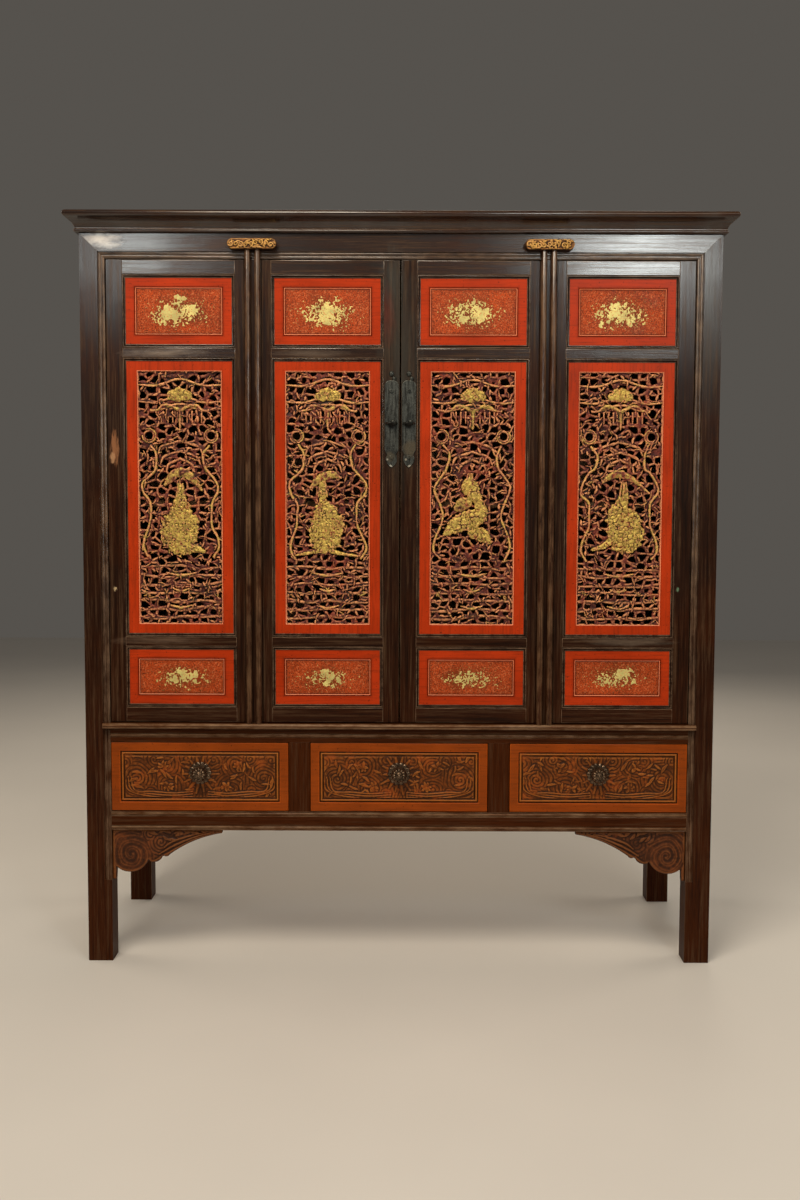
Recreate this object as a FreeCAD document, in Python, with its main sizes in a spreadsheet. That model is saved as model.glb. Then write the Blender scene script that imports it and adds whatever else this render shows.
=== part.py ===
import FreeCAD, Part
import math
import os

import Sketcher

# A Chinese wedding cabinet: four door leaves on wooden pivots above three drawers.
# Millimetres, +Z up, the front looks to -Y. The origin is on the floor, under the middle
# of the cabinet's bounding box.

# The driving sizes: name, millimetres, meaning
SIZES = (
    ("cabinet_height", 1700, "floor to the top of the cornice"),
    ("cabinet_width", 1432, "across the outer faces of the posts"),
    ("cabinet_depth", 520, "front of the front posts to the back of the rear posts"),
    ("post_side", 56, "side of a square post"),
    ("rail_thickness", 34, "front to back of a frame rail"),
    ("rail_height", 44, "height of the waist and bottom rails"),
    ("floor_gap", 307, "floor to the underside of the bottom rail"),
    ("drawer_opening", 161, "height of the drawer openings"),
    ("flat_width", 40, "plain part of the post and top rail, beside their beads"),
    ("bead_width", 6.5, "width of one small bead"),
    ("bead_depth", 4, "depth of the ground between beads"),
    ("bead_margin", 1.5, "plain strip beside a bead"),
    ("cornice_height", 45, "height of the moulded top frame"),
    ("cornice_overhang", 30, "reach of the cornice past the posts"),
    ("cornice_cover", 60, "reach of the top frame in over the rails"),
    ("cornice_nose", 14, "height of the round top edge of the cornice"),
    ("cornice_foot", 7, "reach of the small bead under the cove"),
    ("cornice_foot_height", 8, "height of the small bead under the cove"),
    ("top_ledge", 15, "ledge inside the top frame that carries the top panel"),
    ("top_thickness", 14, "thickness of the top panel"),
    ("top_recess", 5, "top panel below the top edge of the cornice"),
    ("panel_thickness", 10, "thickness of side and back panels"),
    ("floor_thickness", 12, "thickness of the cupboard floor"),
    ("shelf_thickness", 14, "thickness of the shelf"),
    ("shelf_setback", 48, "front edge of the shelf behind the front of the posts"),
    ("batten", 20, "side of a square batten"),
    ("sill_reach", 15, "reach of the sill bead past the waist rail"),
    ("sill_height", 12, "height of the sill bead"),
    ("sill_overlap", 15, "reach of the sill bead over each post"),
    ("stop_height", 8, "lip behind the leaves, above the sill"),
    ("stop_thickness", 10, "thickness of that lip"),
    ("leaf_thickness", 20, "thickness of a door leaf"),
    ("leaf_recess", 3, "front of a leaf behind the front of the posts"),
    ("leaf_side_gap", 2.5, "gap between a leaf and its post"),
    ("leaf_end_gap", 2, "gap above a leaf"),
    ("leaf_foot_gap", 2.5, "gap below a leaf"),
    ("meeting_gap", 4, "gap between the two middle leaves"),
    ("pivot_spacing", 22, "between the pivots of two neighbours"),
    ("rod_radius", 6.5, "radius of a pivot rod"),
    ("pin_radius", 4, "radius of the pin at the end of a rod"),
    ("pin_play", 0.1, "play round a pin in its hole"),
    ("rod_end_play", 0.2, "play above and below a rod"),
    ("stop_play", 0.5, "gap between a shut leaf and the lip behind it"),
    ("lower_pin", 8, "length of a lower pin"),
    ("upper_pin", 14, "length of an upper pin"),
    ("pin_bottom_play", 1, "room past the end of a pin in its hole"),
    ("web_width", 6.5, "neck between rod and stile, from just past the pivot"),
    ("web_back_step", 1, "neck past the pivot, away from the stile"),
    ("rod_groove", 3, "width and depth of the groove beside a rod"),
    ("pivot_stile", 29, "pivot to the inner edge of its stile"),
    ("free_stile", 35, "width of the stile at the free edge"),
    ("leaf_top_rail", 31.5, "height of a leaf's top rail"),
    ("leaf_cross_rail", 22, "height of a leaf's two middle rails"),
    ("leaf_bottom_rail", 33, "height of a leaf's bottom rail"),
    ("upper_panel", 162, "height of the upper panel"),
    ("lower_panel", 140, "height of the lower panel"),
    ("panel_recess", 3, "panels behind the front of their leaf"),
    ("leaf_panel_thickness", 10, "thickness of the leaf panels"),
    ("panel_border", 30, "border round the sunk field of a leaf panel"),
    ("field_depth", 1.5, "depth of that field"),
    ("fret_border", 33, "width of the red frame's sides"),
    ("fret_border_end", 30, "height of the red frame's ends"),
    ("fret_thickness", 8, "thickness of the pierced panel"),
    ("fret_recess", 2, "pierced panel behind the red frame"),
    ("fret_bar", 5, "least width of wood in the pierced panel"),
    ("fret_hole", 17, "width of its openings"),
    ("mullion_play", 3, "pivot to the side of the mullion"),
    ("mullion_recess", 2, "front of the mullion behind the front of the posts"),
    ("mullion_depth", 34, "front to back of the mullion"),
    ("lug_width", 109, "width of a lug"),
    ("lug_height", 22.5, "height of a lug"),
    ("lug_reach", 22, "reach of a lug past the top rail"),
    ("lug_rise", 19, "underside of a lug above the top of the leaf opening"),
    ("plate_width", 31, "width of a lock plate"),
    ("plate_length", 194, "top to bottom of a lock plate"),
    ("plate_thickness", 2.5, "thickness of a lock plate"),
    ("plate_point", 40, "height of the plate's scalloped lower end"),
    ("plate_shoulder", 12, "height of the plate's round upper corners"),
    ("nail_radius", 4.5, "radius of a nail head"),
    ("nail_height", 3, "height of a nail head"),
    ("staple_radius", 11, "radius of the staple"),
    ("staple_wire", 3, "radius of the staple's wire"),
    ("drawer_gap", 1.5, "gap round a drawer front"),
    ("drawer_recess", 1.5, "drawer fronts behind the front of the posts"),
    ("drawer_front_thickness", 22, "thickness of a drawer front"),
    ("divider_width", 48, "width of a divider between drawers"),
    ("drawer_border", 20, "border round the carved panel of a drawer"),
    ("carving_recess", 3, "carved panel behind the drawer front"),
    ("carving_thickness", 6, "thickness of the carved panel"),
    ("carving_play", 0.2, "play round the carved panel"),
    ("drawer_length", 430, "drawer box behind its front"),
    ("drawer_wall", 10, "thickness of the drawer's sides and back"),
    ("drawer_floor", 6, "thickness of the drawer's bottom"),
    ("drawer_side_play", 3, "drawer box inside its opening, each side"),
    ("drawer_top_play", 14, "drawer sides below the top of the drawer front"),
    ("runner_play", 0.3, "drawer above its runners"),
    ("runner_height", 20, "height of a runner under the drawer"),
    ("runner_ledge", 20, "width of a runner under the drawer"),
    ("guide_height", 26, "height of the side guide above the runner"),
    ("rosette_radius", 27, "radius of the plate behind a knob"),
    ("rosette_thickness", 4, "thickness of that plate"),
    ("knob_neck_radius", 9, "radius of a knob's neck"),
    ("knob_neck", 4, "length of a knob's neck"),
    ("knob_radius", 19, "radius of a knob's round head"),
    ("knob_rise", 8, "middle of a knob above the middle of its drawer"),
    ("bracket_length", 253, "length of a bracket along the rail"),
    ("bracket_drop", 117, "length of a bracket down the post"),
    ("bracket_thickness", 18, "thickness of a bracket"),
    ("bracket_setback", 5, "front of a bracket behind the front of the posts"),
    ("bracket_end", 9, "height of the thin end of a bracket"),
    ("scroll_radius", 46, "radius of the bracket's round scroll"),
    ("overrun", 5, "reach of a cutting tool past what it cuts"),
)

# A bead's radius and its rise, as shares of its width
BEAD_CURVE_SHARE = 0.55
BEAD_RISE_SHARE = BEAD_CURVE_SHARE - math.sqrt(BEAD_CURVE_SHARE ** 2 - 0.5 ** 2)
# The radius of the cornice's cove, as a share of its overhang
COVE_SHARE = 1.3
# The face of a knob's plate, as a share of its foot
ROSETTE_FACE_SHARE = 0.8
# Points of a bracket's lower edge from the thin end to the post, as shares of its length and drop,
# and the radius of the arc that follows each point as a share of its length
BRACKET_LOBE_SHARES = ((0.52, 0.51, 0.04), (0.465, 0.535, -0.05), (0.44, 0.60, 0.09), (0.345, 0.655, -0.2))
BRACKET_SWEEP_SHARE = 1.08
BRACKET_SCROLL_SHARES = ((0.325, 0.62), (0.035, 0.76))
BRACKET_TONGUE_SHARES = ((0.03, 1.0), (0.0, 1.0))
# Corners of a lock plate's lower end from its side to its tip, as shares of its half width and its
# point, and the radius of the arc that leads on from each as a share of its half width
PLATE_EDGE_SHARES = ((1.0, 1.0, None), (0.62, 0.7, 0.9), (0.8, 0.42, 1.6))
# Places of the staple and the nails, as shares of the plate's length
PLATE_STAPLE_SHARE = 0.51
PLATE_NAIL_SHARE = 0.12
# The foot of the plate on its leaf, and the shelf in the cupboard, as shares of their height
PLATE_PLACE_SHARE = 0.558
SHELF_PLACE_SHARE = 0.485
# The pierced panel: the part of it that is lattice, and how far its openings fill their places
FRET_LATTICE_SHARE = 0.33
FRET_LENS_SHARE = 0.72
FRET_SLOT_SHARE = 0.9

# Turns: half a square corner, and a round piece's axis laid along -Y
CORNER_TURN = 45
TOWARDS_FRONT = FreeCAD.Rotation(FreeCAD.Vector(1, 0, 0), 90)

# The cabinet's two sides: the sign of X, and the word in a piece's name
SIDES = ((-1, "left"), (1, "right"))

doc = FreeCAD.newDocument("WeddingCabinet")
sheet = doc.addObject("Spreadsheet::Sheet", "Sizes")
places = doc.addObject("Spreadsheet::Sheet", "Places")
for row, (alias, millimetres, meaning) in enumerate(SIZES, start=1):
    sheet.set(f"A{row}", meaning)
    sheet.set(f"B{row}", str(millimetres))
    sheet.setAlias(f"B{row}", alias)
doc.recompute()


class Size:
    """A length, with the expression that the document works it out by."""

    def __init__(self, text, value):
        self.text = text
        self.value = value

    def __add__(self, other):
        other = as_size(other)
        return Size(f"({self.text} + {other.text})", self.value + other.value)

    def __sub__(self, other):
        other = as_size(other)
        return Size(f"({self.text} - {other.text})", self.value - other.value)

    def __mul__(self, factor):
        return Size(f"({self.text} * {factor})", self.value * factor)

    def __truediv__(self, divisor):
        return Size(f"({self.text} / {divisor})", self.value / divisor)

    def __neg__(self):
        return Size(f"(0 - {self.text})", -self.value)

    def __rmul__(self, factor):
        return self * factor


def as_size(thing):
    return thing if isinstance(thing, Size) else Size(str(thing), thing)


def given(alias):
    """A driving size, read from the sheet."""
    return Size(f"Sizes.{alias}", float(getattr(sheet, alias)))


def place(alias, length):
    """A worked-out size or height, kept under its own name in the second sheet."""
    row = len(placed) + 1
    placed.append(alias)
    places.set(f"A{row}", alias)
    places.set(f"B{row}", "=" + length.text)
    places.setAlias(f"B{row}", alias)
    return Size(f"Places.{alias}", length.value)


placed = []
S = {alias: given(alias) for alias, millimetres, meaning in SIZES}

# Front to back: the front of the posts, and everything behind it
FRONT = place("front_face", (S["cornice_overhang"] - S["cabinet_depth"]) / 2)
BACK = place("back_face", FRONT + S["cabinet_depth"])
HALF = place("half_width", S["cabinet_width"] / 2)
POST_IN = place("post_inner_edge", HALF - S["post_side"])
RAIL_BACK = place("rail_back", FRONT + S["rail_thickness"])
POST_BACK = place("post_back", FRONT + S["post_side"])
REAR_RAIL = place("rear_rail_front", BACK - S["rail_thickness"])
REAR_POST = place("rear_post_front", BACK - S["post_side"])

# Heights
BOTTOM_RAIL = (S["floor_gap"], place("bottom_rail_top", S["floor_gap"] + S["rail_height"]))
WAIST_RAIL = (
    place("waist_rail_bottom", BOTTOM_RAIL[1] + S["drawer_opening"]),
    place("waist_rail_top", BOTTOM_RAIL[1] + S["drawer_opening"] + S["rail_height"]),
)
CORNICE_BOTTOM = place("cornice_bottom", S["cabinet_height"] - S["cornice_height"])
BEAD_FOOT = place("bead_foot", S["floor_gap"] - S["bracket_drop"])
TOP_RAIL = (place("top_rail_bottom", CORNICE_BOTTOM - S["post_side"]), CORNICE_BOTTOM)

# Leaves: pivots, edges and rows
LEAF_REACH = place(
    "leaf_reach",
    (POST_IN - S["leaf_side_gap"] - S["meeting_gap"] / 2 - S["pivot_spacing"]) / 2,
)
INNER_PIVOT = place("inner_pivot", S["meeting_gap"] / 2 + LEAF_REACH)
OUTER_PIVOT = place("outer_pivot", INNER_PIVOT + S["pivot_spacing"])
PIVOT_Y = place("pivot_forward", FRONT - S["rod_radius"])
LEAF_Y = (
    place("leaf_front", FRONT + S["leaf_recess"]),
    place("leaf_back", FRONT + S["leaf_recess"] + S["leaf_thickness"]),
)
LEAF_BOTTOM = place("leaf_bottom", WAIST_RAIL[1] + S["leaf_foot_gap"])
LEAF_TOP = place("leaf_top", TOP_RAIL[0] - S["leaf_end_gap"])
UPPER_PANEL = (
    place("upper_panel_bottom", LEAF_TOP - S["leaf_top_rail"] - S["upper_panel"]),
    place("upper_panel_top", LEAF_TOP - S["leaf_top_rail"]),
)
LOWER_PANEL = (
    place("lower_panel_bottom", LEAF_BOTTOM + S["leaf_bottom_rail"]),
    place("lower_panel_top", LEAF_BOTTOM + S["leaf_bottom_rail"] + S["lower_panel"]),
)
FRET_FRAME = (
    place("fret_frame_bottom", LOWER_PANEL[1] + S["leaf_cross_rail"]),
    place("fret_frame_top", UPPER_PANEL[0] - S["leaf_cross_rail"]),
)
STILE_EDGE = place("free_stile_edge", LEAF_REACH - S["free_stile"])
PANEL_Y = (
    place("leaf_panel_front", LEAF_Y[0] + S["panel_recess"]),
    place("leaf_panel_back", LEAF_Y[0] + S["panel_recess"] + S["leaf_panel_thickness"]),
)
LUG_BOTTOM = place("lug_bottom", TOP_RAIL[0] + S["lug_rise"])
PLATE_BOTTOM = place("plate_bottom", LEAF_BOTTOM + (LEAF_TOP - LEAF_BOTTOM) * PLATE_PLACE_SHARE)
SHELF_TOP = place("shelf_top", WAIST_RAIL[1] + (TOP_RAIL[0] - WAIST_RAIL[1]) * SHELF_PLACE_SHARE)

# Drawers
DRAWER_OPENING = place("drawer_opening_width", (POST_IN * 2 - S["divider_width"] * 2) / 3)
DRAWER_PITCH = place("drawer_pitch", DRAWER_OPENING + S["divider_width"])
DRAWER_Z = (
    place("drawer_bottom", BOTTOM_RAIL[1] + S["drawer_gap"]),
    place("drawer_top", WAIST_RAIL[0] - S["drawer_gap"]),
)
DRAWER_Y = (
    place("drawer_front", FRONT + S["drawer_recess"]),
    place("drawer_front_back", FRONT + S["drawer_recess"] + S["drawer_front_thickness"]),
)


def bind(thing, prop, length):
    """Ties a property to the sheets; a bare zero is left as it is."""
    if isinstance(length, Size):
        thing.setExpression(prop, length.text)


def seat(thing, x=0, y=0, z=0):
    """Ties a placement's corner to the sheets."""
    bind(thing, "Placement.Base.x", x)
    bind(thing, "Placement.Base.y", y)
    bind(thing, "Placement.Base.z", z)
    return thing


def board(name, x, y, z):
    """A plain board between two values on each axis."""
    box = doc.addObject("Part::Box", name)
    bind(box, "Length", x[1] - x[0])
    bind(box, "Width", y[1] - y[0])
    bind(box, "Height", z[1] - z[0])
    return seat(box, x[0], y[0], z[0])


def rod(name, radius, x, y, z):
    """An upright cylinder between two heights."""
    cylinder = doc.addObject("Part::Cylinder", name)
    bind(cylinder, "Radius", radius)
    bind(cylinder, "Height", z[1] - z[0])
    return seat(cylinder, x, y, z[0])


def fused(name, parts):
    solid = doc.addObject("Part::MultiFuse", name)
    solid.Shapes = parts
    solid.Refine = True
    return solid


def cut(name, base, tools):
    for number, tool in enumerate(tools):
        last = number == len(tools) - 1
        piece = doc.addObject("Part::Cut", name if last else f"{name}_cut_{number}")
        piece.Base = base
        piece.Tool = tool
        base = piece
    return base


def group(name, parts):
    """Separate solids that share one node."""
    compound = doc.addObject("Part::Compound", name)
    compound.Links = parts
    return compound


def mirrored(side, pair):
    """A pair of X values on the right of the cabinet (side 1) or on its left (side -1)."""
    return pair if side > 0 else (-pair[1], -pair[0])


def arc_between(start, end, radius):
    """The short arc between two points; a positive radius turns left on the way."""
    half = (end - start).Length / 2
    left = FreeCAD.Vector(start.y - end.y, end.x - start.x, 0).normalize()
    rise = math.sqrt(max(radius * radius - half * half, 0))
    centre = (start + end) / 2 + left * math.copysign(rise, radius)
    circle = Part.Circle(centre, FreeCAD.Vector(0, 0, 1), abs(radius))
    first, last = (start, end) if radius > 0 else (end, start)
    angles = [math.atan2(point.y - centre.y, point.x - centre.x) for point in (first, last)]
    return Part.ArcOfCircle(circle, *angles)


def draw(body, name, plane, outline):
    """A closed outline on one of the body's own planes, every corner tied to the sheets.

    A corner is (across, up), or (across, up, radius) where an arc leads on to the next one.
    """
    sketch = body.newObject("Sketcher::SketchObject", name)
    face = [part for part in body.Origin.OriginFeatures if part.Role == plane][0]
    sketch.AttachmentSupport = (face, [""])
    sketch.MapMode = "FlatFace"
    points = [FreeCAD.Vector(as_size(c[0]).value, as_size(c[1]).value, 0) for c in outline]
    radii = [corner[2] if len(corner) > 2 else None for corner in outline]
    ends = []
    for number, radius in enumerate(radii):
        start = points[number]
        end = points[(number + 1) % len(points)]
        if radius is None:
            sketch.addGeometry(Part.LineSegment(start, end), False)
            ends.append((1, 2))
        else:
            sketch.addGeometry(arc_between(start, end, radius.value), False)
            ends.append((1, 2) if radius.value > 0 else (2, 1))
    for number in range(len(outline)):
        following = (number + 1) % len(outline)
        sketch.addConstraint(Sketcher.Constraint(
            "Coincident", number, ends[number][1], following, ends[following][0]))
    for number, radius in enumerate(radii):
        tie_point(sketch, number, ends[number][0], outline[number])
        if radius is not None:
            index = sketch.addConstraint(Sketcher.Constraint("Radius", number, abs(radius.value)))
            sketch.setExpression(f"Constraints[{index}]", f"abs({radius.text})")
    return sketch


def tie_point(sketch, geometry, end, corner):
    """Ties one corner of a sketch to the sheets, or to an axis where its value is zero."""
    for kind, axis, length in (("DistanceX", -2, corner[0]), ("DistanceY", -1, corner[1])):
        if isinstance(length, Size):
            index = sketch.addConstraint(Sketcher.Constraint(
                kind, -1, 1, geometry, end, length.value))
            sketch.setExpression(f"Constraints[{index}]", length.text)
        else:
            sketch.addConstraint(Sketcher.Constraint("PointOnObject", geometry, end, axis))


def padded(name, plane, outline, span):
    """A body whose outline is drawn across the axis that it runs along, between two values."""
    body = doc.addObject("PartDesign::Body", name)
    pad = body.newObject("PartDesign::Pad", f"{name}_pad")
    pad.Profile = draw(body, f"{name}_outline", plane, outline)
    bind(pad, "Length", span[1] - span[0])
    body.Tip = pad
    if plane == "YZ_Plane":
        return seat(body, x=span[0])
    if plane == "XZ_Plane":
        return seat(body, y=span[1])
    return seat(body, z=span[0])


def mitre(name, axis, angle, corner, y, z):
    """A block that cuts one end of a piece along a 45 degree line through a corner."""
    reach = (S["cornice_overhang"] + S["cornice_cover"]) * 2
    block = doc.addObject("Part::Box", name)
    block.Placement.Rotation = FreeCAD.Rotation(axis, angle)
    upright = axis.z > 0
    bind(block, "Length", reach)
    bind(block, "Width", reach if upright else S["rail_thickness"] + S["overrun"])
    bind(block, "Height", S["cornice_height"] + S["overrun"] * 2 if upright else reach)
    return seat(block, corner, y, z)


def frame_beads(flat, direction):
    """Corners of two beads beside a flat: (across, depth) from the flat's edge to the frame's."""
    ground = FRONT + S["bead_depth"]
    width = (S["post_side"] - S["flat_width"]) / 2 - S["bead_margin"]
    corners = [(flat, FRONT), (flat, ground)]
    edge = flat
    for number in range(2):
        edge = edge + direction * S["bead_margin"]
        corners.append((edge, ground, width * (BEAD_CURVE_SHARE * direction)))
        edge = edge + direction * width
        corners.append((edge, ground))
    return corners


def front_posts():
    """Posts mitred to the top rail, beaded on the inner edge down to the ends of the brackets."""
    posts = []
    for side, word in SIDES:
        outline = [(side * HALF, FRONT)]
        outline += frame_beads(side * (HALF - S["flat_width"]), -side)
        outline += [(side * POST_IN, POST_BACK), (side * HALF, POST_BACK)]
        shaft = padded(f"post_shaft_{word}", "XY_Plane", outline, (BEAD_FOOT, CORNICE_BOTTOM))
        foot = board(f"post_foot_{word}", mirrored(side, (POST_IN, HALF)), (FRONT, POST_BACK),
                     (0, BEAD_FOOT))
        whole = fused(f"post_body_{word}", [shaft, foot])
        turn = -CORNER_TURN * 3 if side > 0 else CORNER_TURN
        knife = mitre(f"post_mitre_{word}", FreeCAD.Vector(0, 1, 0), turn, side * HALF,
                      FRONT - S["overrun"], CORNICE_BOTTOM)
        posts.append(cut(f"post_front_{word}", whole, [knife]))
    return posts


def rear_posts():
    posts = []
    for side, word in SIDES:
        posts.append(board(f"post_rear_{word}", mirrored(side, (POST_IN, HALF)), (REAR_POST, BACK),
                           (0, CORNICE_BOTTOM)))
    return posts


def top_rail():
    """The front top rail: a flat with two beads under it, mitred to both posts."""
    outline = [(FRONT, CORNICE_BOTTOM)]
    for across, depth, *radius in frame_beads(CORNICE_BOTTOM - S["flat_width"], -1):
        outline.append((depth, across, *[-size for size in radius]))
    outline += [(RAIL_BACK, TOP_RAIL[0]), (RAIL_BACK, CORNICE_BOTTOM)]
    whole = padded("top_rail_body", "YZ_Plane", outline, (-HALF, HALF))
    knives = [mitre(f"top_rail_mitre_{word}", FreeCAD.Vector(0, 1, 0), CORNER_TURN * 3, side * HALF,
                    FRONT - S["overrun"], CORNICE_BOTTOM)
              for side, word in SIDES]
    return cut("top_rail_front", whole, knives)


def bead_row(outline, y, top):
    """Adds one bead to a rail's face, cut into its plain front, from the given height down."""
    ground = y + S["bead_width"] * BEAD_RISE_SHARE
    outline += [(y, top), (ground, top)]
    outline.append((ground, top - S["bead_margin"], S["bead_width"] * BEAD_CURVE_SHARE))
    outline.append((ground, top - S["bead_margin"] - S["bead_width"]))
    low = top - S["bead_margin"] * 2 - S["bead_width"]
    outline += [(ground, low), (y, low)]


def waist_rail():
    """The rail under the leaves: a projecting sill bead with the lower pivot holes, and a stop."""
    low, high = WAIST_RAIL
    nose = FRONT - S["sill_reach"] + S["sill_height"] * BEAD_RISE_SHARE
    stop = LEAF_Y[1] + S["stop_play"]
    outline = [(nose, high, S["sill_height"] * BEAD_CURVE_SHARE), (nose, high - S["sill_height"]),
               (FRONT, high - S["sill_height"])]
    bead_row(outline, FRONT, high - S["sill_height"] - S["sill_height"])
    outline += [(FRONT, low), (RAIL_BACK, low), (RAIL_BACK, high + S["stop_height"]),
                (stop, high + S["stop_height"]), (stop, high)]
    rail = padded("waist_rail_body", "YZ_Plane", outline, (-POST_IN, POST_IN))
    ends = []
    for side, word in SIDES:
        over = (POST_IN, POST_IN + S["sill_overlap"])
        tip = [(nose, high, S["sill_height"] * BEAD_CURVE_SHARE), (nose, high - S["sill_height"]),
               (FRONT, high - S["sill_height"]), (FRONT, high)]
        ends.append(padded(f"sill_end_{word}", "YZ_Plane", tip, mirrored(side, over)))
    whole = fused("waist_rail_whole", [rail, *ends])
    holes = []
    for number, pivot in enumerate((-OUTER_PIVOT, -INNER_PIVOT, INNER_PIVOT, OUTER_PIVOT)):
        depth = S["lower_pin"] + S["pin_bottom_play"]
        holes.append(rod(f"sill_hole_{number}", S["pin_radius"] + S["pin_play"], pivot, PIVOT_Y,
                         (high - depth, high + S["overrun"])))
    return cut("waist_rail_front", whole, holes)


def bottom_rail():
    low, high = BOTTOM_RAIL
    outline = [(FRONT, high)]
    bead_row(outline, FRONT, high - S["bead_margin"])
    bead_row(outline, FRONT, low + S["bead_width"] + S["bead_margin"] * 3)
    outline += [(FRONT, low), (RAIL_BACK, low), (RAIL_BACK, high)]
    return padded("bottom_rail_front", "YZ_Plane", outline, (-POST_IN, POST_IN))


def mullions():
    bars = []
    for side, word in SIDES:
        across = (INNER_PIVOT + S["mullion_play"], OUTER_PIVOT - S["mullion_play"])
        near = FRONT + S["mullion_recess"]
        stop = LEAF_Y[1] + S["stop_play"]
        x = mirrored(side, across)
        upper = board(f"mullion_bar_{word}", x, (near, near + S["mullion_depth"]),
                      (WAIST_RAIL[1], TOP_RAIL[0]))
        notch = board(f"mullion_foot_{word}", x, (stop, RAIL_BACK),
                      (WAIST_RAIL[1], WAIST_RAIL[1] + S["stop_height"]))
        bars.append(cut(f"mullion_{word}", upper, [notch]))
    return group("mullions", bars)


def drawer_dividers():
    bars = []
    for side, word in SIDES:
        middle = side * DRAWER_PITCH / 2
        x = (middle - S["divider_width"] / 2, middle + S["divider_width"] / 2)
        bars.append(board(f"divider_{word}", x, (FRONT, RAIL_BACK), (BOTTOM_RAIL[1], WAIST_RAIL[0])))
    return group("drawer_dividers", bars)


def side_frames():
    nodes = []
    rows = (("bottom", BOTTOM_RAIL), ("waist", WAIST_RAIL), ("top", TOP_RAIL))
    gaps = (("lower", (BOTTOM_RAIL[1], WAIST_RAIL[0])), ("upper", (WAIST_RAIL[1], TOP_RAIL[0])))
    inset = (S["rail_thickness"] - S["panel_thickness"]) / 2
    for side, word in SIDES:
        rail_x = mirrored(side, (HALF - S["rail_thickness"], HALF))
        panel_x = mirrored(side, (HALF - inset - S["panel_thickness"], HALF - inset))
        rails = [board(f"side_rail_{row}_{word}", rail_x, (POST_BACK, REAR_POST), z)
                 for row, z in rows]
        panels = [board(f"side_panel_{row}_{word}", panel_x, (POST_BACK, REAR_POST), z)
                  for row, z in gaps]
        nodes += [group(f"side_rails_{word}", rails), group(f"side_panels_{word}", panels)]
    return nodes


def back_frame():
    rows = (("bottom", BOTTOM_RAIL), ("waist", WAIST_RAIL), ("top", TOP_RAIL))
    rails = [board(f"back_rail_{row}", (-POST_IN, POST_IN), (REAR_RAIL, BACK), z) for row, z in rows]
    stile = (-(S["post_side"] / 2), S["post_side"] / 2)
    rails.append(board("back_stile", stile, (REAR_RAIL, BACK), (WAIST_RAIL[1], TOP_RAIL[0])))
    inset = (S["rail_thickness"] - S["panel_thickness"]) / 2
    y = (REAR_RAIL + inset, REAR_RAIL + inset + S["panel_thickness"])
    panels = [board("back_panel_lower", (-POST_IN, POST_IN), y, (BOTTOM_RAIL[1], WAIST_RAIL[0]))]
    for side, word in SIDES:
        panels.append(board(f"back_panel_upper_{word}", mirrored(side, (stile[1], POST_IN)), y,
                            (WAIST_RAIL[1], TOP_RAIL[0])))
    return [group("back_rails", rails), group("back_panels", panels)]


def cornice_outline(outer, inner, direction):
    """Section of the top frame: round nose, cove and foot bead outside, a ledge inside."""
    top = S["cabinet_height"]
    nose = outer - direction * (S["cornice_nose"] * BEAD_RISE_SHARE)
    cove = outer - direction * (S["cornice_overhang"] - S["cornice_foot"])
    foot = CORNICE_BOTTOM + S["cornice_foot_height"]
    ledge = top - S["top_recess"] - S["top_thickness"]
    turn = -direction
    return [
        (nose, top, S["cornice_nose"] * (BEAD_CURVE_SHARE * turn)),
        (nose, top - S["cornice_nose"], S["cornice_overhang"] * (COVE_SHARE * direction)),
        (cove, foot + S["bead_margin"]),
        (cove, foot, S["cornice_foot_height"] * (BEAD_CURVE_SHARE * turn)),
        (cove, CORNICE_BOTTOM),
        (inner, CORNICE_BOTTOM),
        (inner, ledge),
        (inner + direction * S["top_ledge"], ledge),
        (inner + direction * S["top_ledge"], top),
    ]


def cornice():
    """The top frame: front and side members mitred together, and a plain rear member."""
    upright = FreeCAD.Vector(0, 0, 1)
    out_x = HALF + S["cornice_overhang"]
    out_y = FRONT - S["cornice_overhang"]
    in_x = HALF - S["cornice_cover"]
    low = CORNICE_BOTTOM - S["overrun"]
    front_bar = padded("cornice_front_bar", "YZ_Plane",
                       cornice_outline(out_y, FRONT + S["cornice_cover"], -1), (-out_x, out_x))
    knives = [mitre(f"cornice_front_mitre_{word}", upright, CORNER_TURN, side * out_x, out_y, low)
              for side, word in SIDES]
    nodes = [cut("cornice_front", front_bar, knives)]
    sides = []
    for side, word in SIDES:
        bar = padded(f"cornice_bar_{word}", "XZ_Plane",
                     cornice_outline(side * out_x, side * in_x, side), (out_y, BACK))
        turn = CORNER_TURN * 3 if side > 0 else -CORNER_TURN
        knife = mitre(f"cornice_mitre_{word}", upright, turn, side * out_x, out_y, low)
        sides.append(cut(f"cornice_side_{word}", bar, [knife]))
    nodes.append(group("cornice_sides", sides))
    ledge = S["cabinet_height"] - S["top_recess"] - S["top_thickness"]
    rear_y = BACK - S["cornice_cover"]
    rear = [(rear_y, CORNICE_BOTTOM), (BACK, CORNICE_BOTTOM), (BACK, S["cabinet_height"]),
            (rear_y + S["top_ledge"], S["cabinet_height"]), (rear_y + S["top_ledge"], ledge),
            (rear_y, ledge)]
    nodes.append(padded("cornice_rear", "YZ_Plane", rear, (-in_x, in_x)))
    rim = S["cornice_cover"] - S["top_ledge"]
    nodes.append(board("top_panel", (-(HALF - rim), HALF - rim), (FRONT + rim, BACK - rim),
                       (ledge, ledge + S["top_thickness"])))
    return nodes


def notched_board(name, half, y, z):
    """A board that reaches the side walls between the posts and is notched round the posts."""
    outline = [(-POST_IN, y[0]), (POST_IN, y[0]), (POST_IN, POST_BACK), (half, POST_BACK),
               (half, REAR_POST), (POST_IN, REAR_POST), (POST_IN, y[1]), (-POST_IN, y[1]),
               (-POST_IN, REAR_POST), (-half, REAR_POST), (-half, POST_BACK), (-POST_IN, POST_BACK)]
    return padded(name, "XY_Plane", outline, z)


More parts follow.
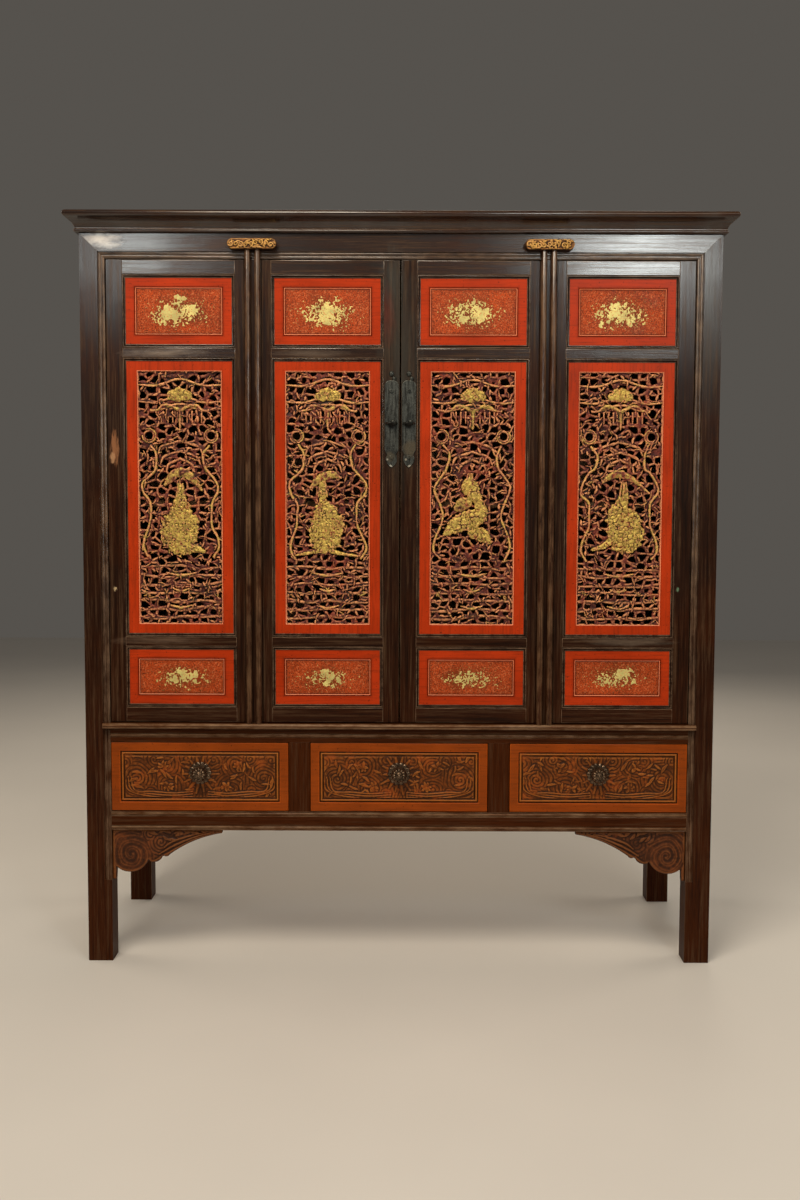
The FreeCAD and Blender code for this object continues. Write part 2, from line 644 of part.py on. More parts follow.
def inside():
    """Cupboard floor, shelf and its battens."""
    high = WAIST_RAIL[1]
    floor = notched_board("cupboard_floor", HALF - S["rail_thickness"], (RAIL_BACK, REAR_RAIL),
                          (high - S["floor_thickness"], high))
    wall = HALF - (S["rail_thickness"] + S["panel_thickness"]) / 2
    back = REAR_RAIL + (S["rail_thickness"] - S["panel_thickness"]) / 2
    under = SHELF_TOP - S["shelf_thickness"]
    shelf = notched_board("shelf", wall - S["runner_play"],
                          (FRONT + S["shelf_setback"], back - S["batten"]), (under, SHELF_TOP))
    battens = [board(f"batten_{word}", mirrored(side, (wall - S["batten"], wall)),
                     (POST_BACK, REAR_POST), (under - S["batten"], under))
               for side, word in SIDES]
    return [floor, shelf, group("shelf_battens", battens)]


def drawer_runners():
    """Runners from the front bottom rail to the rear one, each with a raised side guide."""
    top = DRAWER_Z[0] - S["runner_play"]
    low = top - S["runner_height"]
    high = top + S["guide_height"]
    half = S["divider_width"] / 2
    bars = []
    for side, word in SIDES:
        middle = side * DRAWER_PITCH / 2
        outline = [(middle - half - S["runner_ledge"], low), (middle + half + S["runner_ledge"], low),
                   (middle + half + S["runner_ledge"], top), (middle + half, top),
                   (middle + half, high), (middle - half, high), (middle - half, top),
                   (middle - half - S["runner_ledge"], top)]
        bars.append(padded(f"runner_middle_{word}", "XZ_Plane", outline, (RAIL_BACK, REAR_RAIL)))
        wall = side * (HALF - (S["rail_thickness"] + S["panel_thickness"]) / 2)
        edge = side * POST_IN
        tip = side * (POST_IN - S["runner_ledge"])
        outline = [(tip, low), (wall, low), (wall, high), (edge, high), (edge, top), (tip, top)]
        lower = [(tip, low), (edge, low), (edge, top), (tip, top)]
        guide = padded(f"runner_side_{word}_guide", "XZ_Plane", outline, (POST_BACK, REAR_POST))
        bar = padded(f"runner_side_{word}_bar", "XZ_Plane", lower, (RAIL_BACK, REAR_RAIL))
        relief = board(f"runner_side_{word}_rail", mirrored(side, (HALF - S["rail_thickness"], HALF)),
                       (POST_BACK, REAR_POST), BOTTOM_RAIL)
        whole = fused(f"runner_side_{word}_whole", [guide, bar])
        bars.append(cut(f"runner_side_{word}", whole, [relief]))
    return group("drawer_runners", bars)


def brackets():
    """Carved corner brackets: a thin end, two lobes, a round scroll and a tongue on the post."""
    near = FRONT + S["bracket_setback"]
    length = S["bracket_length"]
    drop = S["bracket_drop"]
    nodes = []
    for side, word in SIDES:
        def corner(along, down, radius=None):
            across = side * (POST_IN - along)
            return across, BOTTOM_RAIL[0] - down, radius and side * radius
        outline = [corner(0, 0), corner(length, 0),
                   corner(length, S["bracket_end"], length * -BRACKET_SWEEP_SHARE)]
        for along, down, curve in BRACKET_LOBE_SHARES:
            outline.append(corner(length * along, drop * down, length * curve))
        start, end = BRACKET_SCROLL_SHARES
        outline.append(corner(length * start[0], drop * start[1], S["scroll_radius"]))
        outline.append(corner(length * end[0], drop * end[1]))
        for along, down in BRACKET_TONGUE_SHARES:
            outline.append(corner(length * along, drop * down))
        nodes.append(padded(f"bracket_{word}", "XZ_Plane", outline,
                            (near, near + S["bracket_thickness"])))
    return nodes


def pivot_lugs():
    """Two lugs with round ends on the top rail, each with blind holes for two upper pins."""
    half = S["lug_width"] / 2
    end = S["lug_height"] / 2
    y = (FRONT - S["lug_reach"], FRONT)
    lugs = []
    for side, word in SIDES:
        middle = side * (INNER_PIVOT + OUTER_PIVOT) / 2
        block = board(f"lug_block_{word}", (middle - half + end, middle + half - end), y,
                      (LUG_BOTTOM, LUG_BOTTOM + S["lug_height"]))
        rounds = []
        for turn, x in enumerate((middle - half + end, middle + half - end)):
            barrel = doc.addObject("Part::Cylinder", f"lug_end_{word}_{turn}")
            barrel.Placement.Rotation = TOWARDS_FRONT
            bind(barrel, "Radius", end)
            bind(barrel, "Height", S["lug_reach"])
            rounds.append(seat(barrel, x, FRONT, LUG_BOTTOM + end))
        whole = fused(f"lug_whole_{word}", [block, *rounds])
        depth = S["upper_pin"] + S["pin_bottom_play"]
        holes = [rod(f"lug_hole_{word}_{number}", S["pin_radius"] + S["pin_play"], side * pivot,
                     PIVOT_Y, (LUG_BOTTOM - S["overrun"], LUG_BOTTOM + depth))
                 for number, pivot in enumerate((INNER_PIVOT, OUTER_PIVOT))]
        lugs.append(cut(f"lug_{word}", whole, holes))
    return group("pivot_lugs", lugs)


def leaf_x(pivot, reach, near, far):
    """A pair of X values on a leaf, from distances off its pivot towards its free edge."""
    ends = (pivot + reach * near, pivot + reach * far)
    return ends if reach > 0 else (ends[1], ends[0])


def leaf_stiles(name, pivot, reach):
    """The pivot stile, one with its rod and pins, and the free stile."""
    bottom = WAIST_RAIL[1] + S["rod_end_play"]
    top = LUG_BOTTOM - S["rod_end_play"]
    groove = S["rod_radius"] + S["rod_groove"]
    z = (LEAF_BOTTOM, LEAF_TOP)
    web_x = (-S["web_back_step"], S["web_width"] - S["web_back_step"])
    web_y = (PIVOT_Y, LEAF_Y[1])
    parts = [
        rod(f"{name}_rod", S["rod_radius"], pivot, PIVOT_Y, (bottom, top)),
        rod(f"{name}_pins", S["pin_radius"], pivot, PIVOT_Y,
            (bottom - S["lower_pin"], top + S["upper_pin"])),
        board(f"{name}_web", leaf_x(pivot, reach, *web_x), web_y, z),
        board(f"{name}_tongue", leaf_x(pivot, reach, -S["web_back_step"], groove),
              (LEAF_Y[0] + S["rod_groove"], LEAF_Y[1]), z),
        board(f"{name}_board", leaf_x(pivot, reach, groove, S["pivot_stile"]), LEAF_Y, z),
    ]
    pivot_stile = fused(f"{name}_pivot_stile", parts)
    free = board(f"{name}_free_stile", leaf_x(pivot, reach, STILE_EDGE, LEAF_REACH), LEAF_Y, z)
    return group(f"{name}_stiles", [pivot_stile, free])


def sunk_panel(name, x, z):
    """A panel with a sunk field inside a plain border."""
    slab = board(f"{name}_slab", x, PANEL_Y, z)
    border = S["panel_border"]
    field = board(f"{name}_field", (x[0] + border, x[1] - border),
                  (PANEL_Y[0] - S["overrun"], PANEL_Y[0] + S["field_depth"]),
                  (z[0] + border, z[1] - border))
    return cut(name, slab, [field])


def leaf(name, pivot, reach):
    """One door leaf: stiles, rails, two panels, the red frame and the pierced panel."""
    x = leaf_x(pivot, reach, S["pivot_stile"], STILE_EDGE)
    rows = (
        ("top", (UPPER_PANEL[1], LEAF_TOP)),
        ("upper", (FRET_FRAME[1], UPPER_PANEL[0])),
        ("lower", (LOWER_PANEL[1], FRET_FRAME[0])),
        ("bottom", (LEAF_BOTTOM, LOWER_PANEL[0])),
    )
    rails = [board(f"{name}_{row}_rail", x, LEAF_Y, z) for row, z in rows]
    panels = [sunk_panel(f"{name}_upper_panel", x, UPPER_PANEL),
              sunk_panel(f"{name}_lower_panel", x, LOWER_PANEL)]
    hole_x = (x[0] + S["fret_border"], x[1] - S["fret_border"])
    hole_z = (FRET_FRAME[0] + S["fret_border_end"], FRET_FRAME[1] - S["fret_border_end"])
    slab = board(f"{name}_red_frame", x, PANEL_Y, FRET_FRAME)
    window = board(f"{name}_window", hole_x, (PANEL_Y[0] - S["overrun"], PANEL_Y[1] + S["overrun"]),
                   hole_z)
    return [
        leaf_stiles(name, pivot, reach),
        group(f"{name}_rails", rails),
        group(f"{name}_panels", panels),
        cut(f"{name}_fret_frame", slab, [window]),
        fretwork(f"{name}_fretwork", hole_x, hole_z),
    ]


def lens(x, z, half_width, half_height):
    """A pointed opening with two curved sides, about a centre."""
    ends = (FreeCAD.Vector(x, 0, z - half_height), FreeCAD.Vector(x, 0, z + half_height))
    sides = [Part.Arc(ends[0], FreeCAD.Vector(x + way * half_width, 0, z), ends[1]).toShape()
             for way in (-1, 1)]
    return Part.Wire(sides)


def slot(x, z, half_width, half_height):
    corners = [FreeCAD.Vector(x + a * half_width, 0, z + b * half_height)
               for a, b in ((-1, -1), (1, -1), (1, 1), (-1, 1), (-1, -1))]
    return Part.makePolygon(corners)


def fretwork(name, across, up):
    """The pierced panel: upright slots below, staggered pointed openings above."""
    x0, x1 = (length.value for length in across)
    z0, z1 = (length.value for length in up)
    bar = S["fret_bar"].value
    hole = S["fret_hole"].value
    columns = max(int((x1 - x0 - bar) / (hole + bar)), 1)
    pitch = (x1 - x0 - bar) / columns
    lattice_top = z0 + (z1 - z0) * FRET_LATTICE_SHARE
    holes = []
    step = pitch * FRET_SLOT_SHARE
    rows = max(int((lattice_top - z0 - bar) / step), 1)
    step = (lattice_top - z0 - bar) / rows
    for row in range(rows):
        z = z0 + bar + (step - bar) / 2 + row * step
        for column in range(columns):
            x = x0 + bar + (pitch - bar) / 2 + column * pitch
            holes.append(slot(x, z, (pitch - bar) / 2, (step - bar) / 2))
    tall = pitch * 2
    rows = max(int((z1 - lattice_top - bar) / tall), 1) * 2 - 1
    tall = (z1 - lattice_top - bar) * 2 / (rows + 1)
    for row in range(rows):
        z = lattice_top + tall / 2 + row * tall / 2
        odd = row % 2
        for column in range(columns - odd):
            x = x0 + bar + (pitch - bar) / 2 + column * pitch + odd * pitch / 2
            holes.append(lens(x, z, (pitch - bar) / 2 * FRET_LENS_SHARE, (tall - bar) / 2))
    rim = Part.makePolygon([FreeCAD.Vector(x, 0, z) for x, z in
                            ((x0, z0), (x1, z0), (x1, z1), (x0, z1), (x0, z0))])
    face = Part.makeFace([rim, *holes], "Part::FaceMakerBullseye")
    panel = doc.addObject("Part::Feature", name)
    panel.Shape = face.extrude(FreeCAD.Vector(0, S["fret_thickness"].value, 0))
    panel.Placement.Base = FreeCAD.Vector(0, PANEL_Y[0].value + S["fret_recess"].value, 0)
    return panel


def lock_plate(name, side):
    """An iron plate with round upper corners and a scalloped point, a staple and two nails."""
    half = S["plate_width"] / 2
    middle = side * (S["meeting_gap"] / 2 + S["free_stile"] / 2)
    low = PLATE_BOTTOM
    top = low + S["plate_length"]
    y = (LEAF_Y[0] - S["plate_thickness"], LEAF_Y[0])
    shoulder = S["plate_shoulder"]
    edge = [(half * across, low + S["plate_point"] * up, curve and half * curve)
            for across, up, curve in PLATE_EDGE_SHARES]
    radii = [None, *(radius for across, up, radius in edge)]
    outline = [(middle + half, top - shoulder, shoulder), (middle + half - shoulder, top),
               (middle - half + shoulder, top, shoulder), (middle - half, top - shoulder)]
    outline += [(middle - across, up, radius) for across, up, radius in edge]
    outline.append((middle, low, radii[-1]))
    outline += [(middle + across, up, radius)
                for (across, up, after), radius in zip(reversed(edge), reversed(radii[:-1]))]
    plate = padded(f"{name}_sheet", "XZ_Plane", outline, y)
    parts = [plate]
    for number, height in enumerate((low + S["plate_length"] * PLATE_NAIL_SHARE,
                                     top - S["plate_length"] * PLATE_NAIL_SHARE)):
        head = doc.addObject("Part::Cylinder", f"{name}_nail_{number}")
        head.Placement.Rotation = TOWARDS_FRONT
        bind(head, "Radius", S["nail_radius"])
        bind(head, "Height", S["nail_height"])
        parts.append(seat(head, middle, y[0], height))
    ring = doc.addObject("Part::Torus", f"{name}_ring")
    bind(ring, "Radius1", S["staple_radius"])
    bind(ring, "Radius2", S["staple_wire"])
    ring_z = low + S["plate_length"] * PLATE_STAPLE_SHARE
    seat(ring, middle, y[0], ring_z)
    reach = S["staple_radius"] + S["staple_wire"] + S["overrun"]
    behind = board(f"{name}_ring_back", (middle - reach, middle + reach), (y[0], y[0] + reach),
                   (ring_z - reach, ring_z + reach))
    parts.append(cut(f"{name}_staple", ring, [behind]))
    return group(name, parts)


def drawer(word, number):
    """One drawer: front with its carved panel, box and knob."""
    middle = DRAWER_PITCH * number
    half = DRAWER_OPENING / 2 - S["drawer_gap"]
    border = S["drawer_border"]
    x = (middle - half, middle + half)
    carving_back = DRAWER_Y[0] + S["carving_recess"] + S["carving_thickness"]
    slab = board(f"{word}_drawer_slab", x, DRAWER_Y, DRAWER_Z)
    recess = board(f"{word}_drawer_recess", (x[0] + border, x[1] - border),
                   (DRAWER_Y[0] - S["overrun"], carving_back),
                   (DRAWER_Z[0] + border, DRAWER_Z[1] - border))
    front = cut(f"{word}_drawer_front", slab, [recess])
    inset = border + S["carving_play"]
    face = DRAWER_Y[0] + S["carving_recess"]
    carving = board(f"{word}_drawer_carving", (x[0] + inset, x[1] - inset), (face, carving_back),
                    (DRAWER_Z[0] + inset, DRAWER_Z[1] - inset))
    return [front, carving, drawer_box(word, middle), drawer_knob(word, middle, face)]


def drawer_box(word, middle):
    half = DRAWER_OPENING / 2 - S["drawer_side_play"]
    wall = S["drawer_wall"]
    y = (DRAWER_Y[1], DRAWER_Y[1] + S["drawer_length"])
    low = DRAWER_Z[0]
    z = (low, DRAWER_Z[1] - S["drawer_top_play"])
    x = (middle - half, middle + half)
    parts = [
        board(f"{word}_drawer_side_left", (x[0], x[0] + wall), y, z),
        board(f"{word}_drawer_side_right", (x[1] - wall, x[1]), y, z),
        board(f"{word}_drawer_back", (x[0] + wall, x[1] - wall), (y[1] - wall, y[1]), z),
        board(f"{word}_drawer_bottom", (x[0] + wall, x[1] - wall), (y[0], y[1] - wall),
              (low + S["drawer_floor"], low + S["drawer_floor"] * 2)),
    ]
    return group(f"{word}_drawer_box", parts)


def drawer_knob(word, middle, face):
    """A knob that points out of the drawer: a dished plate, a neck and a half-round head."""
    plate = doc.addObject("Part::Cone", f"{word}_knob_plate")
    bind(plate, "Radius1", S["rosette_radius"])
    bind(plate, "Radius2", S["rosette_radius"] * ROSETTE_FACE_SHARE)
    bind(plate, "Height", S["rosette_thickness"])
    neck = doc.addObject("Part::Cylinder", f"{word}_knob_neck")
    bind(neck, "Radius", S["knob_neck_radius"])
    bind(neck, "Height", S["rosette_thickness"] + S["knob_neck"])
    head = doc.addObject("Part::Sphere", f"{word}_knob_head")
    head.Angle1 = 0
    bind(head, "Radius", S["knob_radius"])
    front = face - S["rosette_thickness"] - S["knob_neck"]
    for piece, y in ((plate, face), (neck, face), (head, front)):
        piece.Placement.Rotation = TOWARDS_FRONT
        seat(piece, middle, y, (DRAWER_Z[0] + DRAWER_Z[1]) / 2 + S["knob_rise"])
    return fused(f"{word}_drawer_knob", [plate, neck, head])


def build():
    """Every node of the cabinet, in the order in which it would be put together."""
    nodes = [*front_posts(), *rear_posts(), top_rail(), waist_rail(), bottom_rail()]
    nodes += [mullions(), drawer_dividers(), *side_frames(), *back_frame(), *cornice()]
    nodes += [*inside(), drawer_runners(), *brackets(), pivot_lugs()]
    nodes += leaf("outer_left_door", -OUTER_PIVOT, -1)
    nodes += leaf("inner_left_door", -INNER_PIVOT, 1)
    nodes += leaf("inner_right_door", INNER_PIVOT, -1)
    nodes += leaf("outer_right_door", OUTER_PIVOT, 1)
    nodes += [lock_plate("lock_plate_left", -1), lock_plate("lock_plate_right", 1)]
    for number, word in ((-1, "left"), (0, "middle"), (1, "right")):
        nodes += drawer(word, number)
    return nodes


def check(nodes):
    """Stops if any object failed or any node holds no sound solid."""
    for thing in doc.Objects:
        if "Invalid" in thing.State or "Error" in thing.State:
            raise RuntimeError(f"{thing.Label} did not build: {thing.State}")
    for node in nodes:
        if node.Shape.isNull() or not node.Shape.isValid() or not node.Shape.Solids:
            raise RuntimeError(f"{node.Label} has no sound solid")


def export(nodes):
    os.makedirs("parts", exist_ok=True)
    for node in nodes:
        node.Shape.exportStep(f"parts/{node.Label}.step")


cabinet = build()
doc.recompute()
check(cabinet)
export(cabinet)
print(len(cabinet), "nodes")
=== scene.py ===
import math

import bmesh
import bpy
import numpy as np
from bpy.props import FloatProperty, FloatVectorProperty, IntProperty, PointerProperty
from mathutils import Matrix, Vector


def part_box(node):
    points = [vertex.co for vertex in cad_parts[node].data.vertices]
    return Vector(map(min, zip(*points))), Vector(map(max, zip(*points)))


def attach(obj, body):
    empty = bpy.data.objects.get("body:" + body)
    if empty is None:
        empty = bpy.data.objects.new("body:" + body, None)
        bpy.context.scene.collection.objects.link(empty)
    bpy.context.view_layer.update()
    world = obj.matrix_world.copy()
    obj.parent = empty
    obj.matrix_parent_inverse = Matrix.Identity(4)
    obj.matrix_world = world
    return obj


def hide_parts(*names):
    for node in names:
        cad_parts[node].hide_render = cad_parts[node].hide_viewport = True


# The looks of a Chinese wedding cabinet. Metres, +Z up, the doors and drawers face -Y.

bl_info = {
    "name": "Wedding Cabinet",
    "version": (1, 0, 0),
    "blender": (4, 5, 0),
    "location": "3D View > Sidebar > Cabinet",
    "description": "Lacquered timber, pierced panels, carving and ironwork of a wedding cabinet",
    "category": "Object",
}

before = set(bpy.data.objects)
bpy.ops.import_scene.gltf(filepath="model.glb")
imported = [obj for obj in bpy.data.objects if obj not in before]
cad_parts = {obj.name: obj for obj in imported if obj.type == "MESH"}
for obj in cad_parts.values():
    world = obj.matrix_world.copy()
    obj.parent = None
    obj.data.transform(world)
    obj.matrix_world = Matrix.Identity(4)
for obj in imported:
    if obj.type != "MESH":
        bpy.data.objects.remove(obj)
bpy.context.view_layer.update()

MM = 0.001
ROOT = "cabinet"
DOORS = ("outer_left_door", "inner_left_door", "inner_right_door", "outer_right_door")
DRAWERS = ("left_drawer", "middle_drawer", "right_drawer")
SIDES = ("left", "right")
TURN = 2 * math.pi
# The photograph's height and the camera's focal length, in its pixels
PICTURE_HEIGHT = 1200
FOCAL_LENGTH = 1300
# Edges that turn by less than this keep a smooth shade and no rounding
SOFT_CORNER = math.radians(38)


def linear(red, green, blue):
    """A colour read off a picture, 0 to 255, as the linear values that materials use."""
    shares = (red / 255, green / 255, blue / 255)
    return tuple(s / 12.92 if s < 0.04045 else ((s + 0.055) / 1.055) ** 2.4 for s in shares)


def colour(name, description, value):
    return FloatVectorProperty(name=name, description=description, default=linear(*value),
                               subtype="COLOR", size=3, min=0, max=1)


def length(name, description, default):
    return FloatProperty(name=name, description=description, default=default, unit="LENGTH", min=0)


def count(name, description, default, least):
    return IntProperty(name=name, description=description, default=default, min=least)


class FinishSettings(bpy.types.PropertyGroup):
    """Colours of the cabinet's finishes."""

    black: colour("Black lacquer", "Lacquer of the upper frame and the leaves", (20, 17, 14))
    brown: colour("Brown lacquer", "Lacquer of the legs and lower rails", (60, 26, 5))
    rubbed: colour("Rubbed lacquer", "Edges and grain where the lacquer has worn thin", (138, 106, 78))
    vermilion: colour("Vermilion", "Red frames and panel borders", (182, 53, 9))
    field: colour("Panel field", "Painted ground of the red panels", (182, 70, 22))
    gilt: colour("Gilding", "Gilt figures, vines and painted flowers", (206, 186, 92))
    openwork: colour("Openwork", "Carved wood of the pierced panels", (108, 50, 42))
    drawer: colour("Drawer frame", "Orange-brown lacquer of the drawer fronts", (146, 64, 8))
    carving: colour("Drawer carving", "Carved ground of the drawer panels", (110, 54, 10))
    bracket: colour("Bracket", "Carved brown wood of the corner brackets", (110, 58, 26))
    iron: colour("Iron", "Forged lock plates and nails", (78, 80, 76))
    bronze: colour("Bronze", "Drawer knobs", (112, 90, 70))
    timber: colour("Bare timber", "Unfinished wood inside and behind", (158, 116, 76))


class CarvingSettings(bpy.types.PropertyGroup):
    """Sizes of the carving and of the mouldings."""

    grid: length("Carving grid", "Spacing of the carved surface's points", 1.5 * MM)
    edge: length("Worn edge", "Width of the rounding on the frame's edges", 1.3 * MM)
    tracery: length("Tracery pitch", "Distance between openings of the pierced panels", 22 * MM)
    stem: length("Stem", "Half width of the pierced panels' stems", 3.5 * MM)
    leaf: length("Leaf", "Length of a carved leaf", 13 * MM)
    moulding: length("Moulding", "Width of the bead moulding round each panel", 9 * MM)
    seed: count("Seed", "Changes the carved foliage", 7, 0)


class HardwareSettings(bpy.types.PropertyGroup):
    """Sizes of knobs, nails and the stage."""

    knob_ribs: count("Knob ribs", "Ribs of a drawer knob", 12, 3)
    petals: count("Petals", "Petals of the plate behind a knob", 14, 3)
    nail: length("Nail", "Radius of a nail head", 4.5 * MM)
    floor_side: length("Floor", "Side of the stage's floor", 14.0)


def carving_sizes():
    return bpy.context.scene.cabinet_carving


class NodeWork:
    """Adds nodes to a tree and feeds their sockets with values or links."""

    def __init__(self, tree):
        self.tree = tree

    def feed(self, socket, value):
        if isinstance(value, bpy.types.NodeSocket):
            self.tree.links.new(value, socket)
        elif value is not None:
            socket.default_value = value

    def add(self, kind, feeds=None, **options):
        node = self.tree.nodes.new(kind)
        for option, value in options.items():
            setattr(node, option, value)
        for socket, value in (feeds or {}).items():
            self.feed(node.inputs[socket], value)
        return node


class Finish(NodeWork):
    """One procedural material."""

    def __init__(self, name, roughness=0.5, metallic=0.0, coat=0.0, specular=0.5):
        self.material = bpy.data.materials.new(name)
        self.material.use_nodes = True
        super().__init__(self.material.node_tree)
        self.shader = self.tree.nodes["Principled BSDF"]
        for socket, value in (("Roughness", roughness), ("Metallic", metallic),
                              ("Coat Weight", coat), ("Specular IOR Level", specular)):
            self.shader.inputs[socket].default_value = value

    def place(self):
        return self.add("ShaderNodeTexCoord").outputs["Object"]

    def attribute(self, name, output="Fac"):
        return self.add("ShaderNodeAttribute", attribute_name=name).outputs[output]

    def stretched(self, vector, scale):
        return self.add("ShaderNodeMapping", {"Vector": vector, "Scale": scale}).outputs[0]

    def noise(self, vector, scale, detail=3.0, rough=0.55, warp=0.0):
        feeds = {"Vector": vector, "Scale": scale, "Detail": detail, "Roughness": rough,
                 "Distortion": warp}
        return self.add("ShaderNodeTexNoise", feeds).outputs[0]

    def spread(self, factor, low, high, to_low=0.0, to_high=1.0):
        feeds = {"Value": factor, "From Min": low, "From Max": high, "To Min": to_low, "To Max": to_high}
        return self.add("ShaderNodeMapRange", feeds).outputs[0]

    def sum(self, first, second, operation="ADD"):
        return self.add("ShaderNodeMath", {0: first, 1: second}, operation=operation,
                        use_clamp=True).outputs[0]

    def math(self, first, second=None, operation="ADD"):
        return self.add("ShaderNodeMath", {0: first, 1: second}, operation=operation).outputs[0]

    def parts(self, vector):
        return self.add("ShaderNodeSeparateXYZ", {"Vector": vector}).outputs

    def streaked(self, vector, scale, detail, rough, warp=0.0):
        """Noise drawn out along an axis."""
        return self.noise(self.stretched(vector, scale), 1.0, detail, rough, warp)

    def mix(self, factor, first, second):
        feeds = {0: factor, 6: paint(first), 7: paint(second)}
        return self.add("ShaderNodeMix", feeds, data_type="RGBA").outputs[2]

    def clouded(self, factor, low, high, tint, dim, bright):
        """A tint that goes from dim to bright as the factor goes from low to high."""
        return self.mix(self.spread(factor, low, high), shade(tint, dim), shade(tint, bright))

    def laid(self, base, *layers):
        """Tints laid over a base, each (factor, low, high, strength, tint) and fullest at high."""
        for factor, low, high, strength, tint in layers:
            base = self.mix(self.spread(factor, low, high, 0.0, strength), base, tint)
        return base

    def span(self, vector):
        return self.add("ShaderNodeVectorMath", {0: vector}, operation="LENGTH").outputs[1]

    def away(self, spot, x, z, half, rise):
        """How far a point lies from a place on the front, in shares of the place's half sizes."""
        feeds = {"Vector": spot, "Location": (-x / half, 0, -z / rise), "Scale": (1 / half, 0, 1 / rise)}
        return self.span(self.add("ShaderNodeMapping", feeds).outputs[0])

    def bump(self, height, depth, strength=1.0, under=None):
        feeds = {"Height": height, "Distance": depth, "Strength": strength, "Normal": under}
        return self.add("ShaderNodeBump", feeds).outputs[0]

    def polished(self, coat, normal=None):
        """A clear polish over the finish, whose strength may vary."""
        self.feed(self.shader.inputs["Coat Weight"], coat)
        self.feed(self.shader.inputs["Coat Normal"], normal)
        self.shader.inputs["Coat Roughness"].default_value = 0.2
        self.shader.inputs["Coat IOR"].default_value = 1.8

    def done(self, base, roughness=None, normal=None, metallic=None):
        self.feed(self.shader.inputs["Base Color"], paint(base))
        self.feed(self.shader.inputs["Roughness"], roughness)
        self.feed(self.shader.inputs["Normal"], normal)
        self.feed(self.shader.inputs["Metallic"], metallic)
        return self.material


def paint(value):
    """A colour with its alpha, or a link as it is."""
    return value if isinstance(value, bpy.types.NodeSocket) else (*value[:3], 1.0)


def shade(value, share):
    return tuple(min(channel * share, 1.0) for channel in value[:3])


# Places on the lacquered front: worn, dusty and stained ones, and painted sheen on the cross rails
# and the upper right post: (x, z, half width, half height, strength, softness, colour), lengths in metres
WEAR_AND_SHEEN_SPOTS = (
    # Painted sheen: highlights on the cross rails
    (-0.530, 1.392, 0.080, 0.009, 0.50, 0.6, (150, 132, 116)),
    (-0.200, 1.392, 0.080, 0.008, 0.35, 0.6, (130, 112, 96)),
    (-0.545, 0.745, 0.090, 0.009, 0.35, 0.6, (136, 112, 92)),
    (0.520, 0.745, 0.090, 0.009, 0.35, 0.6, (136, 120, 104)),
    # Grey bloom and dust, and a red stain
    (-0.020, 1.560, 0.018, 0.050, 0.30, 1.0, (92, 100, 96)),
    (0.000, 1.400, 0.040, 0.150, 0.55, 0.8, (66, 68, 62)),
    (0.000, 1.180, 0.036, 0.080, 0.40, 0.8, (58, 56, 48)),
    (-0.030, 1.475, 0.014, 0.050, 0.45, 0.8, (112, 50, 38)),
    # Painted sheen on the upper right post
    (0.690, 1.500, 0.022, 0.170, 0.28, 1.2, (96, 102, 100)),
    # Bare wood where the lacquer is worn through, and small stains
    (-0.643, 1.185, 0.012, 0.046, 0.85, 0.2, (146, 98, 66)),
    (-0.647, 1.160, 0.007, 0.018, 0.80, 0.2, (176, 132, 96)),
    (-0.645, 0.862, 0.005, 0.006, 0.80, 0.2, (196, 170, 130)),
    (0.630, 0.865, 0.005, 0.006, 0.80, 0.2, (104, 132, 104)),
)
# Bare ground beside the mitre, on the end of the top rail alone
MITRE_SPOTS = (
    (-0.668, 1.640, 0.044, 0.013, 0.75, 0.6, (206, 196, 184)),
    (-0.650, 1.628, 0.022, 0.008, 0.60, 0.6, (196, 186, 174)),
)


def lacquer(name, above, below, rubbed, worn, gloss=0.36, spots=(), polish=0.1):
    """Old lacquer over grained wood: redder low down, polished high up, rubbed along the grain."""
    work = Finish(name, specular=0.05)
    grain = work.attribute("grain", "Vector")
    spot = work.place()
    streaks = work.streaked(grain, (170, 170, 5), 6.0, 0.7)
    pores = work.streaked(grain, (900, 900, 30), 2.0, 0.5)
    patches = work.noise(spot, 4.5, 4.0, 0.6, 0.4)
    height = work.parts(spot)[2]
    rise = work.spread(work.sum(work.spread(height, 0.1, 1.5), patches), 0.55, 1.25)
    base = work.laid(work.mix(rise, below, above),
                     (patches, 0.5, 0.72, 0.5, shade(below, 1.1)),
                     (streaks, 0.5, 0.64, 0.5 + worn * 0.4, shade(rubbed, 0.4)),
                     (streaks, 0.46, 0.36, 0.6, shade(above, 0.4)),
                     (pores, 0.56, 0.68, 0.7, shade(below, 0.3)))
    if worn:
        rub = work.streaked(grain, (60, 60, 22), 5.0, 0.7)
        base = work.laid(base, (rub, 0.4, 0.66, worn, rubbed))
    # Each spot lays its colour on with a ragged edge; some are wear, dust and stains, others painted
    # sheen
    for x, z, half, rise_half, strength, softness, tint in spots:
        away = work.away(spot, x, z, half, rise_half)
        ragged_edge = work.noise(work.stretched(spot, (1 / half, 1 / half, 0.7 / rise_half)), 1.5, 5.0, 0.7)
        reach = work.math(away, work.math(ragged_edge, 2.6, "MULTIPLY"))
        base = work.laid(base, (reach, 2.0 + softness, 1.95 - softness, strength, linear(*tint)))
    roughness = work.spread(streaks, 0.3, 0.75, gloss, gloss + 0.24)
    normal = work.bump(streaks, 0.35 * MM, 0.5, work.bump(patches, 1.2 * MM, 0.25))
    shine = work.math(work.spread(height, 0.75, 1.6, 0.06, 1.0), polish, "MULTIPLY")
    dulled = work.math(work.spread(streaks, 0.4, 0.7, 1.0, 0.35),
                       work.spread(patches, 0.35, 0.7, 1.1, 0.5), "MULTIPLY")
    work.polished(work.math(shine, dulled, "MULTIPLY"), work.bump(streaks, 0.25 * MM, 0.4))
    return work.done(base, roughness, normal)


